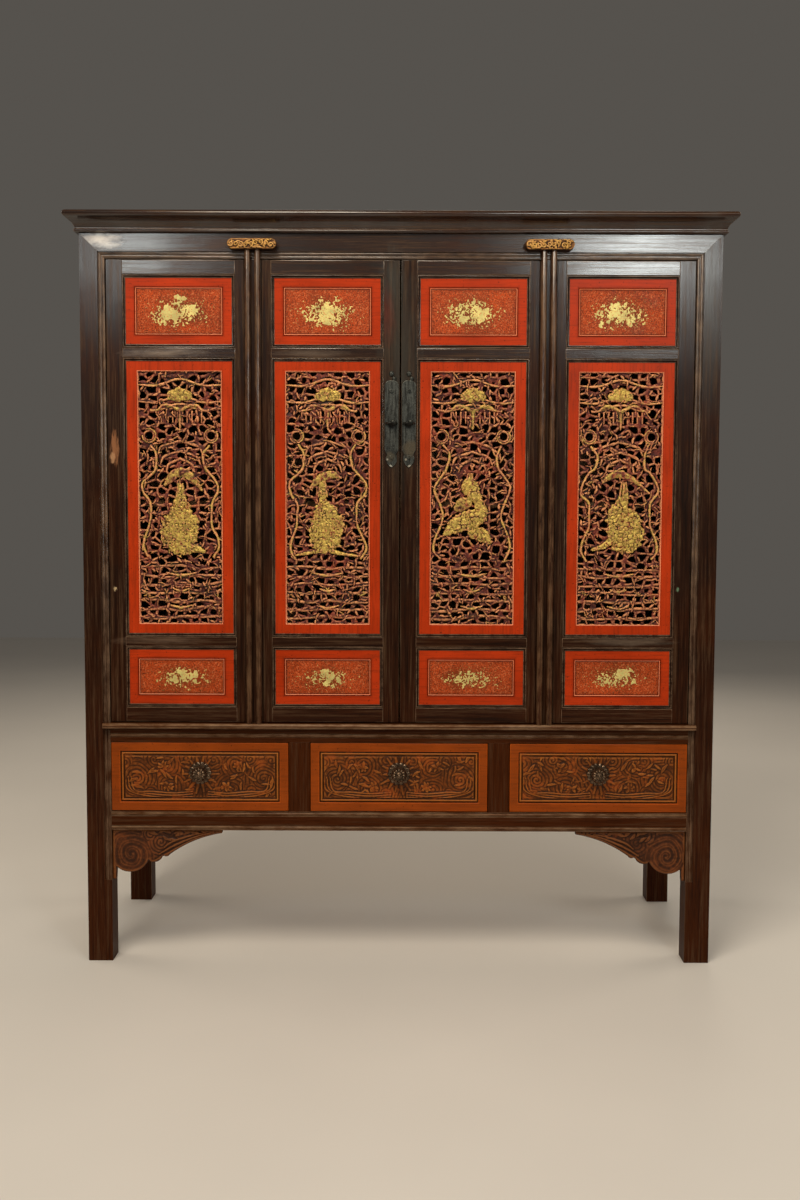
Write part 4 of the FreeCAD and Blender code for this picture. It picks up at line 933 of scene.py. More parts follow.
# Gilt figures and the canopies over them, one entry for each leaf. A stroke is a path of
# (across, down, half width): shares of the opening, where down is a share of its height
FIGURE_STROKES = (
    (((0.50, 0.455, 0.03), (0.50, 0.500, 0.055), (0.50, 0.560, 0.13), (0.495, 0.615, 0.20),
      (0.495, 0.655, 0.195), (0.51, 0.685, 0.09)),
     ((0.54, 0.700, 0.04), (0.66, 0.698, 0.05), (0.78, 0.712, 0.02))),
    (((0.44, 0.440, 0.035), (0.44, 0.510, 0.045), (0.47, 0.555, 0.12), (0.49, 0.610, 0.185),
      (0.48, 0.650, 0.185), (0.46, 0.688, 0.09)),
     ((0.46, 0.702, 0.03), (0.30, 0.715, 0.018), (0.12, 0.725, 0.012)),
     ((0.50, 0.702, 0.03), (0.66, 0.718, 0.018), (0.86, 0.728, 0.012))),
    (((0.47, 0.415, 0.012), (0.47, 0.455, 0.09), (0.56, 0.500, 0.06), (0.60, 0.540, 0.06)),
     ((0.17, 0.640, 0.02), (0.30, 0.605, 0.085), (0.44, 0.588, 0.11), (0.56, 0.570, 0.10),
      (0.63, 0.545, 0.05)),
     ((0.50, 0.635, 0.05), (0.62, 0.642, 0.075), (0.71, 0.670, 0.03))),
    (((0.55, 0.445, 0.02), (0.56, 0.490, 0.035), (0.51, 0.535, 0.085), (0.50, 0.575, 0.14),
      (0.57, 0.610, 0.20), (0.58, 0.645, 0.18), (0.50, 0.682, 0.06)),
     ((0.42, 0.660, 0.05), (0.32, 0.685, 0.03), (0.18, 0.700, 0.015))),
)
CANOPY_STROKES = (
    ((0.31, 0.447, 0.015), (0.38, 0.420, 0.045), (0.45, 0.403, 0.05), (0.53, 0.397, 0.05),
     (0.61, 0.410, 0.045), (0.68, 0.435, 0.03), (0.76, 0.468, 0.012)),
    ((0.29, 0.457, 0.015), (0.37, 0.432, 0.04), (0.46, 0.412, 0.05), (0.56, 0.405, 0.04),
     (0.66, 0.417, 0.012)),
    ((0.33, 0.535, 0.045), (0.39, 0.520, 0.07), (0.46, 0.515, 0.04)),
    ((0.30, 0.430, 0.015), (0.38, 0.410, 0.035), (0.50, 0.398, 0.045), (0.62, 0.415, 0.035),
     (0.74, 0.440, 0.018), (0.86, 0.475, 0.01)),
)


def canopy(relief, number):
    """The roofs at the top of a pierced panel: a gilt finial, wavy eaves and hanging bars."""
    eave_rise, ridge_rise, bar_rise, knob_rise = 5.6 * MM, 6.6 * MM, 4.6 * MM, 7.2 * MM
    for down, flare in ((0.052, 0.5), (0.118, 0.5), (0.15, 0.35)):
        for side in (-1, 1):
            eave = ((flare, 0, 0.008), (0.33, 0.004, 0.014), (0.2, -0.004, 0.012), (0.06, -0.02, 0.014),
                    (0, -0.022, 0.012))
            relief.tapered([(0.5 + side * reach, down + drop, half) for reach, drop, half in eave],
                           eave_rise, tone=1.0, gilt=0.35)
    for side in (-1, 1):
        ridge = ((0, 0.154, 0.022), (0.12, 0.134, 0.018), (0.2, 0.136, 0.022), (0.27, 0.152, 0.008))
        relief.tapered([(0.5 + side * reach, down, half) for reach, down, half in ridge],
                       ridge_rise, tone=1.0, gilt=0.75)
    for bar in np.linspace(0.24, 0.76, 10):
        relief.tapered(((bar, 0.158, 0.011), (bar, 0.2, 0.008)), bar_rise, tone=0.6)
    relief.tapered(((0.40, 0.094, 0.05), (0.5, 0.089, 0.075), (0.60, 0.094, 0.05)), knob_rise,
                   tone=0.9, gilt=1.0, crown=0.35)
    long_finial = number == 2
    relief.tapered(((0.5, 0.15, 0.018), (0.5, 0.19 + 0.02 * long_finial, 0.02), (0.5, 0.225, 0.006)),
                   6.0 * MM, tone=0.9, gilt=0.5 + 0.4 * long_finial)


def roundel_and_vine(relief, side, rng):
    """On one side of a pierced panel: a ringed hole, a gilt curl, a climbing vine and eaves."""
    hole, vine_rise, eave_rise = 9 * MM, 6.8 * MM, 5.2 * MM
    hub = relief.at(0.5 + side * 0.375, 0.253)
    relief.open(hub, hole)
    ring = spiral(hub, 12 * MM, 11 * MM, 1.0, 0.25, side)
    relief.stroke(ring, (3.0 * MM, 2.6 * MM), 5.4 * MM, 0.6, 0.1)
    curl = spiral(hub, 16 * MM, 15 * MM, 0.8, 0.3, side)
    relief.stroke(curl, (1.3 * MM, 1.9 * MM), 6.4 * MM, 1.0, 0.65)
    vine = [relief.at(0.5 + side * (0.5 - across + rng.uniform(-0.014, 0.014)),
                      down + rng.uniform(-1, 1) * 0.006) for across, down in VINE_SHARES]
    halves = np.array([2.4, 3.2, 2.4, 3.0, 2.3, 2.8, 2.5]) * MM
    relief.stroke(smooth_path(vine), halves, vine_rise, 1.0, 0.75)
    for knot in vine[1:-1:2]:
        relief.sprig(knot, rng.uniform(0, TURN), 15 * MM, 6.0 * MM, rng, 0.55, 0.5)
    for reach, down in ((0.27, 0.285), (0.24, 0.325), (0.17, 0.355)):
        relief.tapered(((0.5 + side * reach, down + 0.04, 0.008),
                        (0.5 + side * reach * 0.8, down + 0.01, 0.016), (0.5, down - 0.012, 0.014)),
                       eave_rise, tone=0.7, gilt=0.1)


def gilt_figure(relief, number):
    """The gilt figure of one leaf under its canopy."""
    canopy_rise, strand_rise, figure_rise = 6.8 * MM, 7.0 * MM, 7.4 * MM
    relief.tapered(CANOPY_STROKES[number], canopy_rise, tone=0.9, gilt=0.85, crown=0.5)
    across, down = FIGURE_STROKES[number][0][0][:2]
    for strand in (-0.05, 0.0, 0.05):
        relief.tapered(((across + strand * 0.5, down - 0.012, 0.01),
                        (across + strand, down + 0.05, 0.014)), strand_rise, tone=0.9, gilt=0.9)
    for stroke in FIGURE_STROKES[number]:
        relief.tapered(stroke, figure_rise, tone=0.9, gilt=1.0, crown=0.35)


def cloud_bands(relief, rng):
    """Wavy bands at the foot of a pierced panel, with accents, a bloom and gilt buds."""
    band_rise, accent_rise, leaf_rise = 4.6 * MM, 6.2 * MM, 6.0 * MM
    for down in np.linspace(0.775, 0.975, 7):
        drift = rng.uniform(-0.008, 0.008, 5)
        relief.tapered([(share, down + shift, 0.012 + 0.006 * rng.random())
                        for share, shift in zip(np.linspace(0.02, 0.98, 5), drift)],
                       band_rise, tone=rng.uniform(0.4, 0.9), gilt=0.1)
    for down, reach in ((0.805, 0.18), (0.868, 0.10), (0.935, 0.13)):
        relief.tapered(((0.5 - reach, down - 0.008, 0.006), (0.5, down + 0.002, 0.016),
                        (0.5 + reach, down - 0.008, 0.006)), accent_rise, tone=1.0, gilt=0.6)
    for ray in np.linspace(0, TURN, 7)[:-1]:
        relief.sprig(relief.at(0.5, 0.866), ray, 9 * MM, leaf_rise, rng, 0.7, 0.7)
    for side in (-1, 1):
        for bud in range(5):
            spot = relief.at(0.5 + side * rng.uniform(0.34, 0.47), 0.885 + rng.uniform(-1, 1) * 0.008)
            relief.sprig(spot, rng.uniform(0, 6.28), 8 * MM, leaf_rise, rng, 0.8, 0.8)


def aged_gilding(relief, number, seed, rng):
    """Folds in the gilt figure, and gilding rubbed off, cracked and pitted with age."""
    fold_trials, fold_rise, crack = 1500, 9.4 * MM, 0.22
    figure = relief.gilt > 0.95
    broken = np.clip(2.6 * relief.mottle(8 * MM, seed + 9) - 0.5, 0, 1)
    relief.gilt = np.where(figure, relief.gilt, relief.gilt * broken)
    relief.tone = np.where(figure, relief.tone, relief.tone * (0.35 + 0.65 * broken))
    grids = relief.inside, relief.rise, relief.tone, relief.gilt
    kept = [grid.copy() for grid in grids]
    crown = relief.at(*FIGURE_STROKES[number][0][0][:2])
    for row, column in rng.integers((len(relief.z), len(relief.x)), size=(fold_trials, 2)):
        if figure[row, column]:
            spot = relief.x[column], relief.z[row]
            lean = math.atan2(spot[1] - crown[1], spot[0] - crown[0])
            relief.sprig(spot, lean + rng.uniform(-0.9, 0.9), rng.uniform(9, 15) * MM, fold_rise, rng,
                         rng.uniform(0.7, 1.0), 0.8)
    for grid, old in zip(grids, kept):
        grid[:] = np.where(figure, grid, old)
    nearest, second = relief.cells((7.5 + 4.0 * (number > 1)) * MM, seed + 5)
    cracks = np.clip(1 - (second - nearest) / crack, 0, 1) * np.clip(relief.gilt * 2 - 1, 0, 1)
    cracks *= np.clip(2.4 * relief.mottle(9 * MM, seed + 7) - 0.4, 0, 1)
    relief.rise *= 1 - 0.3 * cracks
    relief.gilt *= 1 - 0.85 * cracks
    relief.gilt *= 1 - 0.4 * np.clip(3 * relief.mottle(13 * MM, seed + 8) - 1.8, 0, 1)
    relief.rise *= 0.84 + 0.2 * relief.mottle(3.4 * MM, seed + 6)


def openwork(door, number):
    """The pierced panel of one leaf: tracery, leaves, a canopy, gilt vines and a gilt figure."""
    carving = carving_sizes()
    node = f"{door}_fretwork"
    ground, net_rise, leaf_rise = 5.2 * MM, 4.2 * MM, 6.4 * MM
    rim_half, rim_rise, leaf_trials = 2.0 * MM, 3.6 * MM, 1150
    relief, low, high = relief_over(node, carving.grid)
    seed = carving.seed + number * 10
    rng = np.random.default_rng(seed)
    tracery(relief, carving.tracery, carving.stem, net_rise, seed)
    foliage(relief, leaf_trials, carving.leaf, leaf_rise, seed + 2)
    rim = [relief.at(*corner) for corner in ((0, 0), (1, 0), (1, 1), (0, 1), (0, 0))]
    relief.stroke(rim, (rim_half, rim_half), rim_rise, 0.8)
    canopy(relief, number)
    for side in (-1, 1):
        roundel_and_vine(relief, side, rng)
    gilt_figure(relief, number)
    cloud_bands(relief, rng)
    aged_gilding(relief, number, seed, rng)
    carved_board = relief.mesh(f"{door}_openwork", low.y + ground, high.y, "openwork")
    return settle(carved_board, door, "fretwork", node)


def red_panel(door, row, box, front, back):
    """One red panel: a vermilion border, a double incised line round a sunk painted field."""
    border = 27 * MM
    # The grooves of the incised line take the dark line as painted shade, the inner slope of its ridge a
    # lighter red as painted highlight
    line = ((0, 0, 1), (0.7, 0.8, 1), (1.4, 0.1, 0), (2.6, -0.5, 3), (3.8, 0.2, 1), (4.6, 1.5, 1),
            (5.4, 1.3, 2))
    profile = [(0, back, 0), (0, front, 0)]
    profile += [(border + inset * MM, front + depth * MM, number) for inset, depth, number in line]
    points, faces, numbers = ringed(box, profile)
    last = len(points) - 4
    faces += [(last, last + 1, last + 2, last + 3), (3, 2, 1, 0)]
    numbers += [2, 0]
    thing = shape_from(f"{door}_{row}_red_panel", points, faces,
                       ("vermilion", "dark line", "panel field", "rubbed red"), numbers)
    add_grain(thing.data)
    add_frame(thing.data, box, border)
    return thing


# Painted blots on the upper panels, one entry for each leaf: (across, down, size), as shares of the
# field, where size is a share of its height
BLOT_SHARES = (
    ((0.39, 0.55, 0.15), (0.46, 0.60, 0.11), (0.67, 0.46, 0.10), (0.49, 0.15, 0.06), (0.56, 0.18, 0.05)),
    ((0.46, 0.68, 0.13), (0.52, 0.58, 0.09), (0.30, 0.70, 0.07), (0.42, 0.25, 0.05), (0.50, 0.36, 0.06)),
    ((0.58, 0.57, 0.13), (0.50, 0.64, 0.09), (0.38, 0.68, 0.07), (0.50, 0.24, 0.04), (0.66, 0.50, 0.07)),
    ((0.41, 0.36, 0.08), (0.42, 0.54, 0.09), (0.24, 0.79, 0.06), (0.58, 0.80, 0.06), (0.76, 0.76, 0.05)),
)


def painted_flowers(door, number, row, box, face, seed):
    """Gilt flowers painted on a field: a few ragged blots among many small flakes."""
    left, bottom, right, top = box
    inset, step, thickness, relief_height = 37 * MM, 0.65 * MM, 0.15 * MM, 0.3 * MM
    relief = Relief((left + inset, bottom + inset), (right - inset, top - inset), step)
    rng = np.random.default_rng(seed)
    upper = row == "upper"
    blots = BLOT_SHARES[number] if upper else [
        (0.5 + rng.uniform(-0.17, 0.17), 0.5 + rng.uniform(-0.2, 0.2), rng.uniform(0.05, 0.11))
        for blot in range(5)]

    def wavering(start):
        return (11 * MM * (relief.mottle(8 * MM, start) - 0.5)
                + 6 * MM * (relief.mottle(3 * MM, start + 1) - 0.5))

    drawn_across, drawn_up = relief.across + wavering(seed + 20), relief.up + wavering(seed + 30)

    def bell(across, down, sigma_across, sigma_down):
        x, z = relief.at(across, down)
        return np.exp(-((drawn_across - x) / sigma_across) ** 2 / 2
                      - ((drawn_up - z) / sigma_down) ** 2 / 2)

    cover = (0.62 if upper else 0.55) * bell(0.48, 0.55, relief.wide * 0.34, relief.tall * 0.33)
    for across, down, size in blots:
        cover = np.maximum(cover, 1.05 * bell(across, down, size * relief.tall * 1.2,
                                              size * relief.tall * 1.1))
    flakes = (0.28 * relief.mottle(7.5 * MM, seed + 3) + 0.37 * relief.mottle(3.2 * MM, seed + 4)
              + 0.35 * relief.mottle(1.9 * MM, seed + 5))
    relief.lay((cover - flakes - 0.03) * 4 * MM, relief_height, 0.5, 1.0)
    thing = relief.mesh(f"{door}_{row}_painted_flowers", face, face + thickness, "gilding")
    return settle(thing, door, "gilt_carving")


def leaf_rows(door):
    """The openings of a leaf, as (left, bottom, right, top): upper panel, red frame, lower panel."""
    panels = points_of(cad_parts[f"{door}_panels"].data)
    low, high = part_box(f"{door}_fret_frame")
    boxes = {name: (*part[:, ::2].min(0), *part[:, ::2].max(0))
             for name, part in (("upper", panels[panels[:, 2] > high.z]),
                                ("lower", panels[panels[:, 2] < low.z]))}
    boxes["middle"] = (low.x, low.z, high.x, high.z)
    return boxes


def panel_mouldings(door):
    """Beads round the three openings of a leaf, in the corner between frame and panel."""
    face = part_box(f"{door}_panels")[0].y
    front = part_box(f"{door}_rails")[0].y
    width = carving_sizes().moulding
    bead = width * 0.27
    profile = [(0, face + 2 * MM, 0), (0, front + 1.2 * MM, 0), (0.9 * MM, front + 1.2 * MM, 1)]
    for angle in np.linspace(0, math.pi, 8):
        profile.append((bead * (1 - math.cos(angle)) / 2 + 0.9 * MM,
                        front + 0.6 * MM - math.sin(angle) * 1.5 * MM, 1))
    profile += [(bead + 1.3 * MM, front + 1.9 * MM, 0), (width * 0.66, front + 1.9 * MM, 1)]
    for angle in np.linspace(0.0, 1.0, 5) * math.pi / 2:
        profile.append((width * 0.68 + math.sin(angle) * width * 0.2,
                        face - 0.2 * MM - math.cos(angle) * 1.6 * MM, 1))
    profile[-1] = (*profile[-1][:2], 0)
    profile += [(width * 0.9, face + 0.7 * MM, 0), (width * 1.12, face + 0.7 * MM, 0),
                (width * 1.12, face + 2 * MM, 0)]
    # The grooves take a darker copy of the lacquer as painted shade, the beads a lighter one as painted
    # highlight
    thing = moulding(f"{door}_panel_beads", leaf_rows(door).values(), profile, ("groove", "bead lacquer"))
    thing.data.polygons.foreach_set("use_smooth", [True] * len(thing.data.polygons))
    thing.data.set_sharp_from_angle(angle=math.radians(40))
    return settle(thing, door, "black_lacquer")


def node_outline(node):
    """The edges round a flat-fronted solid's front face, as pairs of (X, Z) points."""
    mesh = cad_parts[node].data
    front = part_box(node)[0].y
    seen = {}
    for polygon in mesh.polygons:
        corners = [mesh.vertices[index].co for index in polygon.vertices]
        if all(abs(corner.y - front) < 0.05 * MM for corner in corners):
            keys = [(round(corner.x, 6), round(corner.z, 6)) for corner in corners]
            for first, second in zip(keys, keys[1:] + keys[:1]):
                seen.setdefault(frozenset((first, second)), []).append((first, second))
    return np.array([pairs[0] for pairs in seen.values() if len(pairs) == 1])


def cut_to(relief, outline, rise, crown):
    """Fills an outline on the relief with a ground whose edge is rounded over."""
    inside = np.zeros(relief.across.shape, dtype=bool)
    away = np.full(relief.across.shape, 9.0)
    for (x0, z0), (x1, z1) in outline:
        run = np.array([x1 - x0, z1 - z0])
        share = np.clip(((relief.across - x0) * run[0] + (relief.up - z0) * run[1]) / (run @ run), 0, 1)
        away = np.minimum(away, np.hypot(relief.across - x0 - share * run[0],
                                         relief.up - z0 - share * run[1]))
        if z0 != z1:
            crosses = (relief.up > z0) != (relief.up > z1)
            inside ^= crosses & (relief.across < x0 + (relief.up - z0) * run[0] / run[1])
    signed = np.where(inside, away, -away)
    relief.lay(signed, rise * np.sqrt(1 - np.clip(1 - signed / crown, 0, 1) ** 2), 0.3)
    return signed


def swirls(relief, scrolls, pitch, rise, seed):
    """Parallel grooves that wind round scrolls, each given as (x, z, size, way, breadth)."""
    best = np.full(relief.across.shape, 99.0)
    following = best.copy()
    phase = np.zeros(best.shape)
    bend = pitch * 0.9 * relief.mottle(24 * MM, seed)
    for x, z, size, way, *breadth in scrolls:
        away = np.hypot(relief.across - x, relief.up - z)
        turn = np.arctan2(relief.up - z, relief.across - x) / TURN
        wave = (away + bend) / (pitch * sum(breadth, 1.0)) + way * turn
        phase = np.where(away / size < best, wave, phase)
        following = np.minimum(following, np.maximum(away / size, best))
        best = np.minimum(best, away / size)
    ridge = np.sqrt(np.clip(1 - (2 * (phase % 1) - 1) ** 2, 0, 1))
    ridge *= 0.86 + 0.14 * np.cos(phase * 6 * math.pi)
    seam = np.clip((following - best) * 4, 0, 1)
    layer = 0.7 + 0.5 * relief.mottle(30 * MM, seed + 1) - 0.25 * np.clip(best - 0.6, 0, 1)
    level = rise * layer * (0.35 + 0.65 * ridge * (0.4 + 0.6 * seam))
    tone = relief.mottle(16 * MM, seed + 2)
    raised = relief.inside > 0
    relief.rise = np.where(raised, np.maximum(relief.rise, level), relief.rise)
    relief.tone = np.where(raised, tone, relief.tone)


def carved_bracket(side):
    """A corner bracket: a big round scroll with rings, and leafy swirls towards the thin end."""
    node = f"bracket_{side}"
    step, ground, edge_rise, edge_round = 1.2 * MM, 6.6 * MM, 2.4 * MM, 3 * MM
    groove_pitch, groove_rise = 8 * MM, 6.0 * MM
    relief, low, high = relief_over(node, step, 2)
    signed = cut_to(relief, node_outline(node), edge_rise, edge_round)
    way = 1 if side == "left" else -1
    post = low.x if way > 0 else high.x
    rng = np.random.default_rng(carving_sizes().seed + way)

    def at(along, down):
        """A point so many millimetres from the post and from the bracket's top."""
        return np.array([post + way * along * MM, high.z - down * MM])

    scrolls = [(*at(44, 60), 1.5, way, 1.1)]
    for along, down, size, turn in ((112, 30, 1.0, -1), (150, 20, 0.8, 1), (88, 12, 0.55, 1),
                                    (184, 13, 0.7, -1), (216, 8, 0.6, 1), (128, 52, 0.6, 1)):
        scrolls.append((*at(along, down), size, turn * way))
    swirls(relief, scrolls, groove_pitch, groove_rise, 21)
    for strand in range(3):
        path = smooth_path([at(96 + strand * 12, 74 - strand * 16), at(140, 50 - strand * 11),
                            at(190 - strand * 4, 24 - strand * 5), at(240 - strand * 14, 8)])
        relief.stroke(path, (1.6 * MM, 3.4 * MM, 1.4 * MM), 6.4 * MM, 0.96 - 0.064 * strand, crown=0.7)
    for leaf in range(16):
        along = rng.uniform(84, 220)
        relief.sprig(at(along, rng.uniform(4, 40) * (1 - along / 300)), rng.uniform(-0.8, 0.8),
                     18 * MM, 6.2 * MM, rng)
    relief.rise = np.minimum(relief.rise, np.clip(signed, 0, None) * 1.4 + 0.5 * MM)
    relief.inside = signed
    relief.rise *= 0.86 + 0.14 * relief.mottle(4 * MM, 3)
    thing = relief.mesh(f"{node}_carved", low.y + ground, high.y, "bracket", 4)
    return settle(thing, ROOT, "bracket", node)


def carved_lugs():
    """The two gilt lugs over the pivots, carved with leaves and rounded at the ends."""
    step, ground, edge_rise, edge_round = 0.9 * MM, 4.8 * MM, 1.4 * MM, 2 * MM
    relief, low, high = relief_over("pivot_lugs", step, 2)
    signed = cut_to(relief, node_outline("pivot_lugs"), edge_rise, edge_round)
    rng = np.random.default_rng(carving_sizes().seed)
    middle = (low.z + high.z) / 2
    half_lug = 54.5 * MM
    for centre in (low.x + half_lug, high.x - half_lug):
        for along in np.arange(-50, 51, 3.4):
            spot = (centre + along * MM, middle + rng.uniform(-9, 9) * MM)
            relief.sprig(spot, rng.uniform(0, 6.28), 12 * MM, 4.6 * MM, rng, rng.choice((0.2, 0.8)))
        for along in np.arange(-46, 47, 11):
            curl = spiral((centre + along * MM, middle + rng.uniform(-4, 4) * MM), 6 * MM, 1.6 * MM, 1.1,
                          rng.random())
            relief.stroke(curl, (1.8 * MM, 1.1 * MM), 4.8 * MM, 0.9, rng.choice((0.1, 0.8)))
    relief.rise = np.minimum(relief.rise, np.clip(signed, 0, None) * 1.6)
    relief.inside = signed
    thing = relief.mesh("pivot_lugs_carved", low.y + ground, high.y, "gilt carving")
    return settle(thing, ROOT, "gilt_carving", "pivot_lugs")


def carved_drawer(drawer, number):
    """A drawer's carved panel: scrolls at both ends and leaves towards the knob."""
    node = f"{drawer}_carving"
    step, ground, base_rise = 1.15 * MM, 1.8 * MM, 0.6 * MM
    groove_pitch, groove_rise = 8.0 * MM, 3.6 * MM
    relief, low, high = relief_over(node, step)
    relief.lay(np.ones(relief.across.shape), np.full(relief.across.shape, base_rise), 0.2)
    rng = np.random.default_rng(carving_sizes().seed + 40 + number)

    def at(across, up):
        """A point given as shares of the panel's half sizes, from its middle."""
        return relief.at(0.5 + across / 2, 0.5 - up / 2)

    scrolls = []
    for side in (-1, 1):
        for across, up, size, way in ((0.78, -0.12, 1.5, 1), (0.44, 0.42, 1.0, -1),
                                      (0.40, -0.48, 1.15, -1), (0.60, 0.62, 0.7, 1),
                                      (0.16, 0.66, 0.7, 1), (0.62, -0.62, 0.7, 1),
                                      (0.93, 0.62, 0.7, -1), (0.14, -0.72, 0.6, 1)):
            spot = at(side * (across + rng.uniform(-0.03, 0.03)), up + rng.uniform(-0.06, 0.06))
            scrolls.append((*spot, size * rng.uniform(0.9, 1.1), way * side))
    swirls(relief, scrolls, groove_pitch, groove_rise, 50 + number * 9)
    for side in (-1, 1):
        for strand in range(3):
            corners = ((0.10, -0.80 + strand * 0.1), (0.34, -0.84 + strand * 0.09),
                       (0.60, -0.80 + strand * 0.1), (0.9 - strand * 0.04, -0.55),
                       (0.95 - strand * 0.04, 0.0))
            relief.stroke(smooth_path([at(side * across, up) for across, up in corners]),
                          (1.0 * MM, 2.2 * MM, 2.4 * MM, 1.0 * MM), 3.4 * MM, 0.6, crown=0.75)
        for bloom, rest in ((0.46, 0.40), (0.36, -0.40)):
            hub = at(side * bloom + rng.uniform(-0.04, 0.04), rest)
            for petal in np.linspace(0, TURN, 8)[:-1]:
                relief.sprig(hub, petal + rng.uniform(-0.3, 0.3), 13 * MM, 3.6 * MM, rng, slim=1.3)
        for spray in range(20):
            spot = at(side * rng.uniform(0.14, 0.9), rng.uniform(-0.7, 0.75))
            relief.sprig(spot, rng.uniform(0, 6.28), rng.uniform(14, 24) * MM, 3.3 * MM, rng, slim=0.8)
    hub = at(0, 0.1)
    for petal in np.linspace(0, TURN, 15)[:-1]:
        reach = rng.uniform(34, 46)
        tip = hub + np.array([math.cos(petal) * reach, math.sin(petal) * reach * 1.1]) * MM
        relief.stroke([hub * 0.5 + tip * 0.5, tip], (4.6 * MM, 2.4 * MM), 3.0 * MM, 0.0)
    border = np.minimum.reduce([relief.across - low.x, high.x - relief.across,
                                relief.up - low.z, high.z - relief.up])
    relief.rise = np.where(border < 11 * MM, 0.4 * MM, relief.rise)
    for inset, half, rise in ((5.0, 2.5, 3.2), (9.6, 1.0, 1.8)):
        away = np.abs(border - inset * MM)
        fillet = rise * MM * np.sqrt(np.clip(1 - (away / (half * MM)) ** 2, 0, 1))
        relief.rise = np.maximum(relief.rise, fillet)
        relief.tone = np.where(away < half * MM, 1.0, relief.tone)
    relief.rise *= 0.88 + 0.12 * relief.mottle(5 * MM, number + 3)
    thing = relief.mesh(f"{drawer}_carved_panel", low.y + ground, high.y, "drawer carving", 3)
    return settle(thing, drawer, "drawer_carving", node)


class Growth(NodeWork):
    """A geometry node tree with named inputs, ended by Realize Instances and Set Material."""

    KINDS = {float: "NodeSocketFloat", int: "NodeSocketInt"}

    def __init__(self, name, inputs):
        group = bpy.data.node_groups.new(name, "GeometryNodeTree")
        super().__init__(group)
        self.group = group
        group.interface.new_socket("Geometry", in_out="INPUT", socket_type="NodeSocketGeometry")
        for label, value in inputs.items():
            kind = self.KINDS[type(value)]
            group.interface.new_socket(label, in_out="INPUT", socket_type=kind).default_value = value
        group.interface.new_socket("Geometry", in_out="OUTPUT", socket_type="NodeSocketGeometry")
        self.inputs = self.add("NodeGroupInput").outputs

    def math(self, first, second, operation="MULTIPLY"):
        return self.add("ShaderNodeMath", {0: first, 1: second}, operation=operation).outputs[0]

    def vector(self, x=0.0, y=0.0, z=0.0):
        return self.add("ShaderNodeCombineXYZ", {0: x, 1: y, 2: z}).outputs[0]

    def moved(self, geometry, offset=None, turn=None, scale=None):
        feeds = {"Geometry": geometry, "Translation": offset, "Rotation": turn, "Scale": scale}
        return self.add("GeometryNodeTransform", feeds).outputs[0]

    def ball(self, segments, rings, radius):
        feeds = {"Segments": segments, "Rings": rings, "Radius": radius}
        return self.add("GeometryNodeMeshUVSphere", feeds).outputs[0]

    def placed(self, piece, points, turn=None, scale=None):
        """A copy of the piece on each point."""
        feeds = {"Points": points, "Instance": piece, "Rotation": turn, "Scale": scale}
        return self.add("GeometryNodeInstanceOnPoints", feeds).outputs[0]

    def wheel(self, piece, copies):
        """Copies of a piece turned evenly round Y."""
        ring = self.add("GeometryNodeMeshCircle", {"Vertices": copies, "Radius": 0.0001}).outputs[0]
        share = self.math(self.add("GeometryNodeInputIndex").outputs[0], copies, "DIVIDE")
        return self.placed(piece, ring, self.vector(0.0, self.math(share, TURN)))

    def joined(self, *pieces):
        node = self.add("GeometryNodeJoinGeometry")
        for piece in pieces:
            self.tree.links.new(piece, node.inputs[0])
        return node.outputs[0]

    def end(self, geometry, material):
        """The finished tree: its pieces on the points that it is given, smooth and in one material."""
        for kind, feeds in (("RealizeInstances", {}), ("SetShadeSmooth", {"Shade Smooth": True}),
                            ("SetMaterial", {"Material": finish(material)})):
            geometry = self.add(f"GeometryNode{kind}", {"Geometry": geometry, **feeds}).outputs[0]
        self.feed(self.add("NodeGroupOutput").inputs[0], geometry)
        return self.group


def grown(name, points, group, **values):
    """Runs a tree on a few points and keeps the result as a plain mesh."""
    mesh = bpy.data.meshes.new(name)
    mesh.from_pydata([tuple(point) for point in points], [], [])
    thing = link(name, mesh)
    growth = thing.modifiers.new("Growth", "NODES")
    growth.node_group = group
    names = {item.name: item.identifier for item in group.interface.items_tree
             if item.item_type == "SOCKET" and item.in_out == "INPUT"}
    for label, value in values.items():
        growth[names[label.capitalize()]] = value
    return baked(thing)


def melon_knobs():
    """A tree for knobs: a petalled plate, a neck and a ribbed head, pointing to -Y."""
    work = Growth("Melon knob", {"Ribs": 12, "Petals": 10, "Head": 19 * MM, "Plate": 27 * MM,
                                 "Neck": 9 * MM, "Reach": 23 * MM})
    geometry, ribs, petals, head, plate, neck, reach = list(work.inputs)[:7]
    rib = work.moved(work.ball(12, 10, head), scale=(0.42, 1.0, 0.3))
    rib = work.moved(rib, work.vector(work.math(head, 0.56)))
    button = work.moved(work.ball(16, 8, work.math(head, 0.24)), work.vector(0.0, work.math(head, -0.97)))
    whole_head = work.joined(work.wheel(rib, ribs), work.ball(24, 12, work.math(head, 0.7)), button)
    whole_head = work.moved(whole_head, work.vector(0.0, work.math(head, 0.72)), scale=(1, 0.72, 1))
    whole_head = work.moved(whole_head, work.vector(0.0, work.math(reach, -1.0)))
    stalk = work.add("GeometryNodeMeshCylinder", {"Vertices": 20, "Radius": neck, "Depth": reach})
    stalk = work.moved(stalk.outputs[0], work.vector(0.0, work.math(reach, -0.5)), (math.pi / 2, 0, 0))
    petal = work.moved(work.ball(12, 8, plate), work.vector(work.math(plate, 0.62)),
                       scale=(0.38, 0.1, 0.24))
    disc = work.moved(work.ball(24, 8, work.math(plate, 0.72)), scale=(1, 0.14, 1))
    knob = work.joined(whole_head, stalk, work.wheel(petal, petals), disc)
    return work.end(work.placed(knob, geometry), "bronze")


